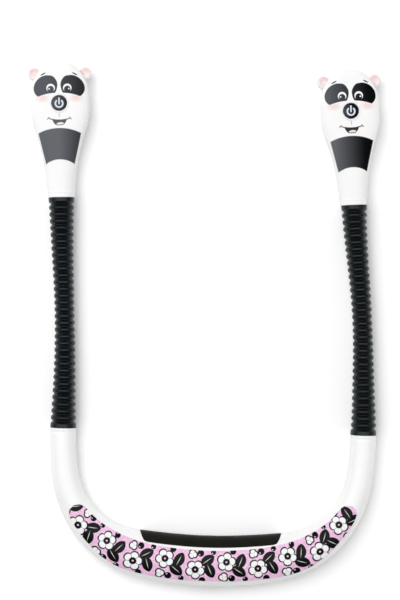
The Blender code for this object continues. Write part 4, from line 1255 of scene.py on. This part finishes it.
stageSizes = {
    "floor": 6.0, "floorColour": (0.9, 0.9, 0.9, 1), "floorSeen": (1, 1, 1, 1), "floorSink": 0.0001,
    "floorTint": 0.99, "floorMatt": 0.9, "floorMottle": (40.0, 3.0),
    # How much the floor glows to the eye near the light and far off, where the lamps reach it less
    "lift": 0.08, "farLift": 0.55, "lifted": (0.5, 2.4),
    "aim": (0, 0.15, 0),
    "softboxPlace": (-0.73, 0.9, 1.95), "softboxWidth": 1.76, "softboxLength": 2.0, "softboxPower": 42.0,
    # A low white card on the right, for the sides that face away from the softbox
    "cardPlace": (1.3, -0.1, 0.35), "cardWidth": 1.6, "cardLength": 0.6, "cardPower": 4.5,
    "walls": 0.5, "ceiling": 0.34, "mirroredWalls": 0.2, "mirroredCeiling": 0.03, "wallEnds": (0.1, 0.6),
    # The broad lamp overhead as gloss shows it: its level, its ends across (left, right) and its edges along
    "bandLevel": 2.4, "bandLeft": (-1.0, -0.65), "bandRight": (0.45, 0.95), "bandEdges": (0.12, 0.35),
    "bandRise": (0.0, 0.15),
    "viewTurn": 1.43, "viewPlace": (-0.00985, 0.15646), "viewDistance": 1.2, "lens": 120, "film": 36,
}


def seenBy():
    return [addNode("LightPath", output=f"Is {ray} Ray") for ray in ("Camera", "Glossy", "Transmission")]


def buildFloor():
    floor = addPiece(bpy.ops.mesh.primitive_plane_add, "floor", size=stageSizes["floor"],
                     location=(0, 0, -stageSizes["floorSink"]))
    material = newMaterial("paleFloor")
    nodes = material.node_tree.nodes
    shader = nodes["Principled BSDF"]
    tint = tuple(value * stageSizes["floorTint"] for value in stageSizes["floorColour"][:3]) + (1,)
    laid = paint(stageSizes["floorColour"], tint, mottled(objectPlace(), *stageSizes["floorMottle"]))
    shader.inputs["Roughness"].default_value = stageSizes["floorMatt"]
    shader.inputs["Specular IOR Level"].default_value = 0.0
    camera, glossy, through = seenBy()
    seen = camera | glossy | through
    feed(shader.inputs["Base Color"], paint(laid, stageSizes["floorSeen"], seen))
    lift = spread(lengthOf(objectPlace()), stageSizes["lift"], stageSizes["farLift"], *stageSizes["lifted"])
    glow = addNode("Emission", {"Strength": seen * lift})
    feed(nodes["Material Output"].inputs["Surface"],
         addNode("AddShader", {0: Wire(shader.outputs[0]), 1: glow}))
    floor.data.materials.append(material)


def addLamp(name):
    # A flat lamp that faces the middle of the table, hidden from the camera and left out of reflections
    place = Vector(stageSizes[name + "Place"])
    data = bpy.data.lights.new(name, "AREA")
    data.shape = "RECTANGLE"
    data.size, data.size_y = stageSizes[name + "Width"], stageSizes[name + "Length"]
    data.energy = stageSizes[name + "Power"]
    lamp = bpy.data.objects.new(name, data)
    lamp.location = place
    lamp.rotation_euler = (Vector(stageSizes["aim"]) - place).to_track_quat("-Z", "Y").to_euler()
    lamp.visible_camera = lamp.visible_glossy = False
    bpy.context.collection.objects.link(lamp)


def lightWorld():
    # Pale walls round the table, which are white where they are seen, and a dimmer ceiling
    world = bpy.data.worlds.new("studioWorld")
    bpy.context.scene.world = world
    world.use_nodes = True
    current["tree"] = world.node_tree
    sockets = world.node_tree.nodes["Background"].inputs
    x, y, up = split(addNode("TexCoord", output="Generated"))
    level = spread(up, stageSizes["walls"], stageSizes["ceiling"], *stageSizes["wallEnds"])
    mirrored = spread(up, stageSizes["mirroredWalls"], stageSizes["mirroredCeiling"], *stageSizes["wallEnds"])
    overhead = (spread(x, 0.0, 1.0, *stageSizes["bandLeft"]) * spread(x, 1.0, 0.0, *stageSizes["bandRight"])
                * spread(abs(y), 1.0, 0.0, *stageSizes["bandEdges"])
                * spread(up, 0.0, stageSizes["bandLevel"], *stageSizes["bandRise"]))
    camera, glossy, through = seenBy()
    strength = addNode("Mix", {0: glossy | through, 2: level, 3: mirrored | overhead})
    feed(sockets["Strength"], strength | camera)
    sockets["Color"].default_value = (1, 1, 1, 1)


def placeCamera():
    data = bpy.data.cameras.new("photoView")
    data.lens = stageSizes["lens"]
    data.sensor_width = stageSizes["film"]
    camera = bpy.data.objects.new("photoView", data)
    camera.location = (*stageSizes["viewPlace"], axisHeight + stageSizes["viewDistance"])
    camera.rotation_euler = (0, 0, radians(stageSizes["viewTurn"]))
    bpy.context.collection.objects.link(camera)
    bpy.context.scene.camera = camera


buildFloor()
addLamp("softbox")
addLamp("card")
lightWorld()
placeCamera()
bpy.context.scene.view_settings.view_transform = "Standard"
print("stage set")
